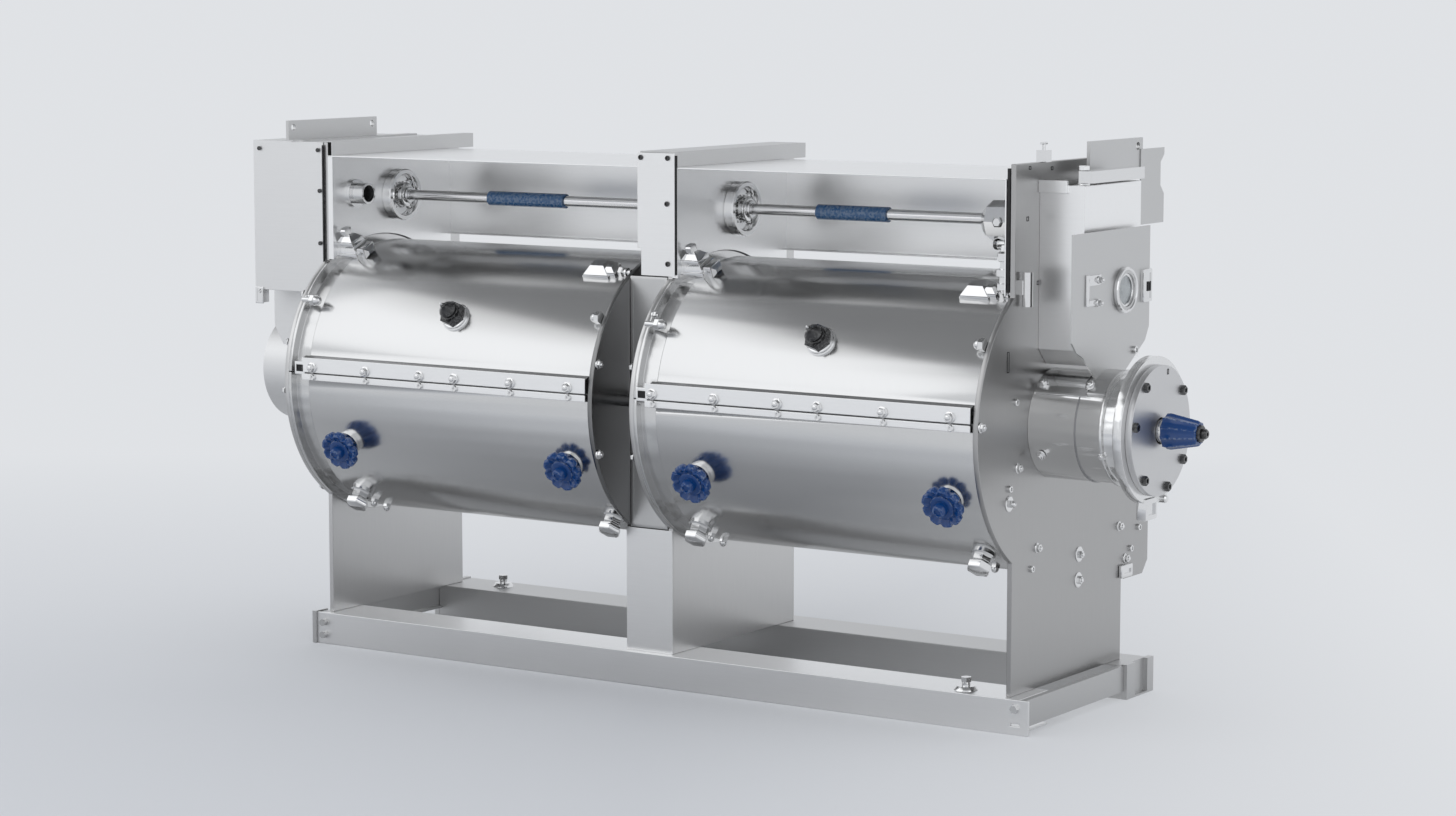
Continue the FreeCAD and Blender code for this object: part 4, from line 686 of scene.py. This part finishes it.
# %% Model the two clamps and the drain plugs
clamp = joined([
    slope(block((-12, -38, -34), (16, 30, 34), 3), (1, 0, 0), 11, 16),
    slope(block((22, -32, -24), (40, 18, 22), 3), (1, 0, 0), 9, 10),
    slope(block((-4, 26, -24), (26, 46, 20), 3), (0, 1, 0), 8, 7),
    moved(turned([(0, 9), (14, 9)], sides=16), (46, -8, -2)),
    moved(turned([(0, 14), (10, 14), (13, 11)], sides=6), (55, -8, -2)),
    moved(turned([(0, 7), (14, 7), (15, 5)], sides=16), (12, 36, -2), (0, 1, 0)),
    moved(turned([(0, 11), (8, 11), (9, 9)], sides=6), (12, -32, 0), (0, -1, 0)),
])
wedge = joined([
    slope(block((-14, -46, -30), (12, 26, 30), 3), (1, 0, 0), 15, 16),
    slope(block((-8, 4, -24), (16, 42, 12), 3), (1, 0, 0), 9, 10),
    moved(turned([(0, 7), (44, 7)], sides=16), (8, 30, -4), (0, 1, 0)),
    moved(turned([(0, 13), (9, 13), (11, 11)], sides=6), (8, 44, -4), (0, 1, 0)),
    moved(turned([(0, 11), (5, 11), (6, 9)], sides=24), (8, 60, -4), (0, 1, 0)),
])
clamps = copies(clamp, [perch(x, 114, 321) for x in (-887, 95)])
wedges = copies(wedge, [perch(x, 118, 318) for x in (-148, 824)])
settle("drum_clamps", clamps + wedges, "bright_metal", instead=("top_fittings",))

drain = joined([
    turned([(-12, 27), (8, 27), (11, 24), (11, 18)], sides=32),
    turned([(9, 21), (22, 21), (25, 18), (25, 14)], sides=6),
    turned([(23, 14), (29, 14)], sides=20),
    turned([(28, 24), (30, 27), (42, 27), (46, 24), (49, 17), (50, 8)], sides=6),
])
drains = copies(drain, [perch(x, 234, 321) for x in (-828, -99, 134, 850)])
side_nuts = copies(cap_nut(10), [
    perch(x + shift, angle, 320) for x in (-828, 134) for shift, angle in ((-6, 245), (2, 252))
] + [perch(850 - 6, 247, 320)])
settle("drain_fittings", drains + side_nuts, "bright_metal", instead=("drain_plugs",))

# %% [markdown]
# ## Fasteners of the right end plate
# The right plate carries most of the fasteners: flange nuts, cap screws, washers and one cap nut. A small
# lug goes with them, and a slot and small holes filled with painted shade.

# %% Place the screws of the right end
PLATE = 912
plate_screws = copies(flange_nut(9), [
    aim((PLATE, y, z), RIGHT, 0.2 * y) for y, z in (
        (-146, 379), (47, 339), (44, 283), (236, 376), (268, 300), (-235, 560),
    )
])
plate_caps = copies(cap_screw(7.5, 6), [
    aim((PLATE, y, z), RIGHT) for y, z in ((-171, 337), (330, 362), (292, 319), (-248, 700), (-271, 520))
])
washers = copies(turned([(0, 17), (1.5, 17), (2.4, 15.5), (2.4, 12)], sides=28), [
    aim((PLATE, y, z), RIGHT) for y, z in ((-271, 489), (47, 339), (44, 283))
])
ring_stud = copies(cap_nut(8), [aim((PLATE + 2, -271, 489), RIGHT)])
foot_lug = [push(block((PLATE, 236, 258), (PLATE + 10, 290, 288), 4), RIGHT, 6, -3)]
settle("plate_screws", plate_screws + plate_caps + washers + ring_stud + foot_lug, "bright_metal")

# Painted shade: black blocks sunk into the plate stand for the shade inside its slot and holes.
holes = []
for y, z, height in ((-281, 787, 44), (-202, 1081, 10), (-194, 1187, 8), (-97, 1182, 8), (-202, 947, 10),
                     (-154, 944, 9)):
    hole = block((PLATE - 0.5, y - 5, z - height / 2), (PLATE + 0.6, y + 5, z + height / 2), 0.5)
    holes.append(push(hole, RIGHT, 1.2, -0.8))
holes.append(push(block((1164.5, -52, 756), (1165.6, -44, 768), 0.5), RIGHT, 1.2, -0.8))
settle("plate_hole_shade", holes, "seal_rubber")

# %% [markdown]
# ## Screws, seams and lug of the transfer tube
# The cover is held by black screws with hexagon heads. The tube itself is made of rolled lengths, so that
# two thin seams go round it. Four flange nuts and a cast lug stand on it, and fine black rings of painted
# shade mark the grooves at the ends of the drums.

# %% Dress the tube and its cover
cover_screw = turned([(0, 10.5), (7, 10.5), (9, 8.8), (9, 5), (6.5, 4.6)], sides=6)
COVER_ANGLES = (38, 128, 171, 231, 283, 325)
heads = copies(cover_screw, [aim(around(1164.8, angle, 124), RIGHT, 0.4) for angle in COVER_ANGLES])
settle("cover_screws", heads, "black_plastic", instead=("cover_bolts",))


def hoop(place, radius, width, height):
    """A thin ring about the lower shaft, with its edges broken."""
    start, end = place - width / 2, place + width / 2
    return on_shaft(turned([
        (start, radius - 1), (start, radius + height - 0.4), (start + 0.4, radius + height),
        (end - 0.4, radius + height), (end, radius + height - 0.4), (end, radius - 1),
    ], sides=72))


TUBE = 119
strap_screws = copies(flange_nut(9), [
    perch(929, 131, TUBE + 1.5), perch(1039, 130, TUBE + 3), perch(1083, 204, TUBE - 5),
    perch(938, 208, TUBE),
])
lug = [
    push(block((1130, -122, 452), (1156, -66, 500), 6), RIGHT, 6, -4),
    moved(turned([(0, 9), (24, 9), (27, 6)], sides=20), (1132, -30, 490)),
]
settle("tube_trim", strap_screws + lug, "bright_metal")
settle("tube_seams", [hoop(1023, TUBE, 2.2, 0.8), hoop(1081, TUBE - 6, 2.2, 0.8)], "cast_metal")
# Painted shade: thin black rings stand for the shade in the grooves where the necks meet the plates.
necks = [hoop(x, radius, 3, 2) for x, radius in ((-928, 312), (-74, 321), (54, 312), (898, 321))]
settle("neck_groove_shade", necks, "seal_rubber")

# %% [markdown]
# ## Window, bracket and lugs on the guard plate
# The window has two turned rings, outside its glass. Beside it sits a bent bracket with two nuts, and a
# lug stands at the far edge. A hollow ring is turned from an open circle, so that nothing covers the glass.

# %% Build the fittings of the guard plate
GUARD_FACE = 1042
WINDOW = (GUARD_FACE, -13, 925)
window = [
    moved(turned_ring([(0, 40), (0, 47), (2, 49), (8, 49), (10, 47), (10, 43), (8, 41), (4, 40)]), WINDOW),
    moved(turned_ring([(0, 30), (0, 36), (4, 36), (5, 35), (5, 31), (4, 30)]), WINDOW),
]
bracket = [
    block((GUARD_FACE, -190, 902), (GUARD_FACE + 5, -178, 968), 2),
    block((GUARD_FACE, -180, 902), (GUARD_FACE + 3, -124, 914), 1.2),
    block((GUARD_FACE, -180, 944), (GUARD_FACE + 3, -122, 966), 1.2),
]
bracket += copies(flange_nut(7), [
    aim((GUARD_FACE + 3, y, z), RIGHT) for y, z in ((-134, 955), (-137, 907))
])
side_lug = [
    push(block((GUARD_FACE - 2, 66, 892), (GUARD_FACE + 9, 106, 964), 4), RIGHT, 5, -2),
    moved(cap_screw(9, 7), (GUARD_FACE, 38, 793)),
]
settle("guard_fittings", window + bracket + side_lug, "bright_metal")
# Painted shade: a black block stands for the shade inside the slot.
guard_slot_shade = push(block((GUARD_FACE + 8, 78, 916), (GUARD_FACE + 10, 94, 936), 0.6), RIGHT, 3, -1)
settle("guard_slot_shade", [guard_slot_shade], "seal_rubber")

# %% [markdown]
# ## The right bearing and the valve beside it
# The far bearing is a cast housing with eight flats, with one hexagon plug below it and one in front. A
# small valve stack stands in front of it, on the inner side of the end plate.

# %% Turn the housing, its plugs and the valve
HOUSING_Z = 1060
housing = moved(turned([
    (704, 17), (706, 24), (712, 32), (724, 44), (800, 46), (886, 46),
], sides=8), (0, UPPER_Y, HOUSING_Z))
plug = moved(turned([(0, 13), (4, 16), (14, 16), (20, 12)], sides=6), (742, UPPER_Y, 1018), (0, 0, -1))
side_plug = moved(turned([(0, 12), (8, 12), (10, 9)], sides=6), (760, -52, HOUSING_Z), FRONT)
stack = moved(turned([
    (0, 14), (8, 20), (20, 20), (22, 15), (34, 15), (36, 22), (50, 22), (52, 13), (66, 13), (68, 19),
    (84, 19), (88, 12), (100, 10),
], sides=10), (878, -232, 926), UP)
branch = moved(turned([(0, 12), (14, 12), (15, 16), (25, 16)], sides=8), (874, -232, 966), RIGHT)
settle("right_bearing", [housing, plug, side_plug, stack, branch], "bright_metal",
       instead=("right_bearing_block",))

# %% [markdown]
# ## Infill panels, painted shade in the gaps and black screws
# Two panels close the gap between the middle plates, in front and behind. Black strips of painted shade fill
# the gaps between the hoods and the plates, and read as fine black lines. The stub under the left hood has a
# mouth of painted shade. Black screws sit beside the centre post, and a small catch holds the belt case at
# its lower corner.

# %% Place the panels, the strips, the mouth and the catch
infill = push(block((-59.5, -258, 357), (39.5, -253, 922), 1.2), FRONT, 6, -0.8)
back_infill = push(block((-59.5, 247, 357), (39.5, 252, 1164), 1.2), BACK, 6, -0.8)
settle("centre_infill", [infill, back_infill], "panel_steel")
# Painted shade: black strips stand for the shade in the gaps between the hoods and the plates.
strips = [
    block((60.3, -257, 928), (64.5, -252, 1192), 0.8),
    block((893, -257, 930), (899.4, -252, 1188), 0.8),
    block((-943.5, -261, 842), (-939.5, -257.5, 1190), 0.8),
]
# Painted shade: a black ring stands for the shade inside the stub's mouth.
mouth_shade = [moved(turned([(-40, 19.7), (-6, 19.7), (-6, 17), (-20, 15)], sides=28), (-874, -173, 1074))]
settle("painted_gap_shade", strips + mouth_shade, "seal_rubber")
post_screws = copies(cap_screw(6, 3.4), [
    aim((x, -258, z), FRONT) for x, z in ((40, 1085), (42, 952), (-30, 1186), (42, 1186))
])
settle("post_screws", post_screws, "black_plastic")
catch = [
    push(block((-1155, -262, 806), (-1131, -258, 846), 1.4), FRONT, 4, -1.5),
    block((-1153, -259, 808), (-1133, -236, 839.6), 2),
    moved(cap_screw(4.5, 4), (-1140, -261, 836), FRONT),
]
settle("case_catch", catch, "bright_metal")


# %% [markdown]
# ## The studio
# The floor is a large pale disc that keeps the machine's shadow. Far from the machine it fades into the
# backdrop, so that no horizon shows, and close to the machine reflections see painted shade on it. The
# backdrop is the world itself, seen by the camera, by reflections and through glass. It is darker overhead,
# as a studio is, and everything else gets an even soft light. A large softbox gives the drums their long
# bright bands, and a weak lamp on the right lifts the end plate.

# %% Lay the floor
BACKDROP = (0.745, 0.762, 0.788, 1)
FLOOR_TONE = (0.70, 0.715, 0.742)
FLOOR_RADIUS = 12
FLOOR_HEIGHT = -0.0005
VIEW_WAY = (-0.549, 0.836, 0)
SIDE_WAY = (0.836, 0.549, 0)
clear()
bpy.ops.mesh.primitive_circle_add(vertices=96, radius=FLOOR_RADIUS, fill_type="NGON",
                                  location=(0, 0, FLOOR_HEIGHT))
floor = bpy.context.active_object
floor.name = "studio_floor"
bpy.ops.object.transform_apply(location=True, rotation=False, scale=False)
floor_paint, floor_tree, floor_shader, floor_place = new_material("floor_paint")
link(floor_tree, tinted(floor_place, FLOOR_TONE, 0.01, noise(floor_place, 0.6)), floor_shader, "Base Color")
floor_shader.inputs["Roughness"].default_value = 0.8
floor_shader.inputs["Specular IOR Level"].default_value = 0.15


def faded(along, rate, start):
    """How far the floor has faded at a distance, from 0 to 1."""
    return floor_place.out("ShaderNodeMath", {"operation": "MULTIPLY_ADD", "use_clamp": True}, i0=along,
                           i1=rate, i2=start)


def toward(direction):
    """The distance from the middle along one horizontal direction."""
    return floor_place.out("ShaderNodeVectorMath", {"operation": "DOT_PRODUCT"}, output=1, i0=floor_place,
                           i1=direction)


behind = faded(toward(VIEW_WAY), 0.25, 0.08)
beside = faded(toward(SIDE_WAY), 0.5, 0.08)
distance = floor_place.out("ShaderNodeVectorMath", {"operation": "LENGTH"}, output=1, i0=floor_place)
around_it = faded(distance, 0.4, -1.2)
far = floor_place.sum("MAXIMUM", floor_place.sum("MAXIMUM", behind, beside), around_it)
# Painted shade: close to the machine, reflections see the floor as near black, standing in for the shade
# beneath it.
mirrored = Wire(floor_tree, floor_tree.nodes.new("ShaderNodeLightPath").outputs["Is Glossy Ray"])
out_front = floor_place.out("ShaderNodeMath", {"operation": "ABSOLUTE"}, i0=floor_place.out(
    "ShaderNodeSeparateXYZ", output=1, Vector=floor_place))
painted_shade_nearness = floor_place.out("ShaderNodeValToRGB", {"stops": [(0.30, 0.45), (0.9, 0.0)]}, Fac=out_front * 0.4)
glow = floor_place.node("ShaderNodeEmission", Color=BACKDROP, Strength=1.0)
painted_floor_shade = floor_place.node("ShaderNodeEmission", Color=(0.02, 0.02, 0.022, 1), Strength=1.0)
under = floor_place.node("ShaderNodeMixShader", i0=mirrored * painted_shade_nearness)
floor_tree.links.new(floor_shader.outputs[0], under.inputs[1])
floor_tree.links.new(painted_floor_shade.outputs[0], under.inputs[2])
blend = floor_place.node("ShaderNodeMixShader", i0=far)
floor_tree.links.new(under.outputs[0], blend.inputs[1])
floor_tree.links.new(glow.outputs[0], blend.inputs[2])
floor_tree.links.new(blend.outputs[0], floor_tree.nodes["Material Output"].inputs["Surface"])
floor.data.materials.append(floor_paint)
print("floor:", FLOOR_RADIUS * 2, "m across")

# %% Light the world
SOFT_LIGHT = (0.80, 0.815, 0.84, 1)
world = bpy.data.worlds.new("studio")
bpy.context.scene.world = world
world.use_nodes = True
sky_tree = world.node_tree
sky_tree.nodes.clear()
sky = Wire(sky_tree, sky_tree.nodes.new("ShaderNodeLightPath").outputs["Is Camera Ray"])
rays = sky.socket.node
reflected = Wire(sky_tree, rays.outputs["Is Glossy Ray"])
through_glass = Wire(sky_tree, rays.outputs["Is Transmission Ray"])
seen = sky + reflected + through_glass
direction = Wire(sky_tree, sky_tree.nodes.new("ShaderNodeTexCoord").outputs["Generated"])
height = sky.out("ShaderNodeSeparateXYZ", output=2, Vector=direction)
ceiling = sky.out("ShaderNodeValToRGB", {"stops": [(0.60, 1.0), (0.80, 0.32)]}, Fac=height)
backdrop = sky.out("ShaderNodeBackground", Color=BACKDROP, Strength=ceiling)
soft = sky.out("ShaderNodeBackground", Color=SOFT_LIGHT, Strength=0.99)
mixed = sky.node("ShaderNodeMixShader", i0=seen, i1=soft, i2=backdrop)
finish_node = sky_tree.nodes.new("ShaderNodeOutputWorld")
sky_tree.links.new(mixed.outputs[0], finish_node.inputs["Surface"])
print("world:", world.name)


# %% Hang the lamps
def lamp(name, place, target, size, power):
    """An area lamp that looks at a target."""
    data = bpy.data.lights.new(name, "AREA")
    data.shape = "RECTANGLE"
    data.size, data.size_y = size
    data.energy = power
    thing = bpy.data.objects.new(name, data)
    thing.location = place
    thing.rotation_euler = (Vector(target) - Vector(place)).to_track_quat("-Z", "Y").to_euler()
    bpy.context.scene.collection.objects.link(thing)


lamp("front_softbox", (-3.2, -4.3, 4.0), (0, -0.1, 0.6), (8.0, 4.4), 54)
lamp("right_side", (5.5, -1.5, 2.2), (0.8, 0, 0.6), (2.0, 2.6), 8)
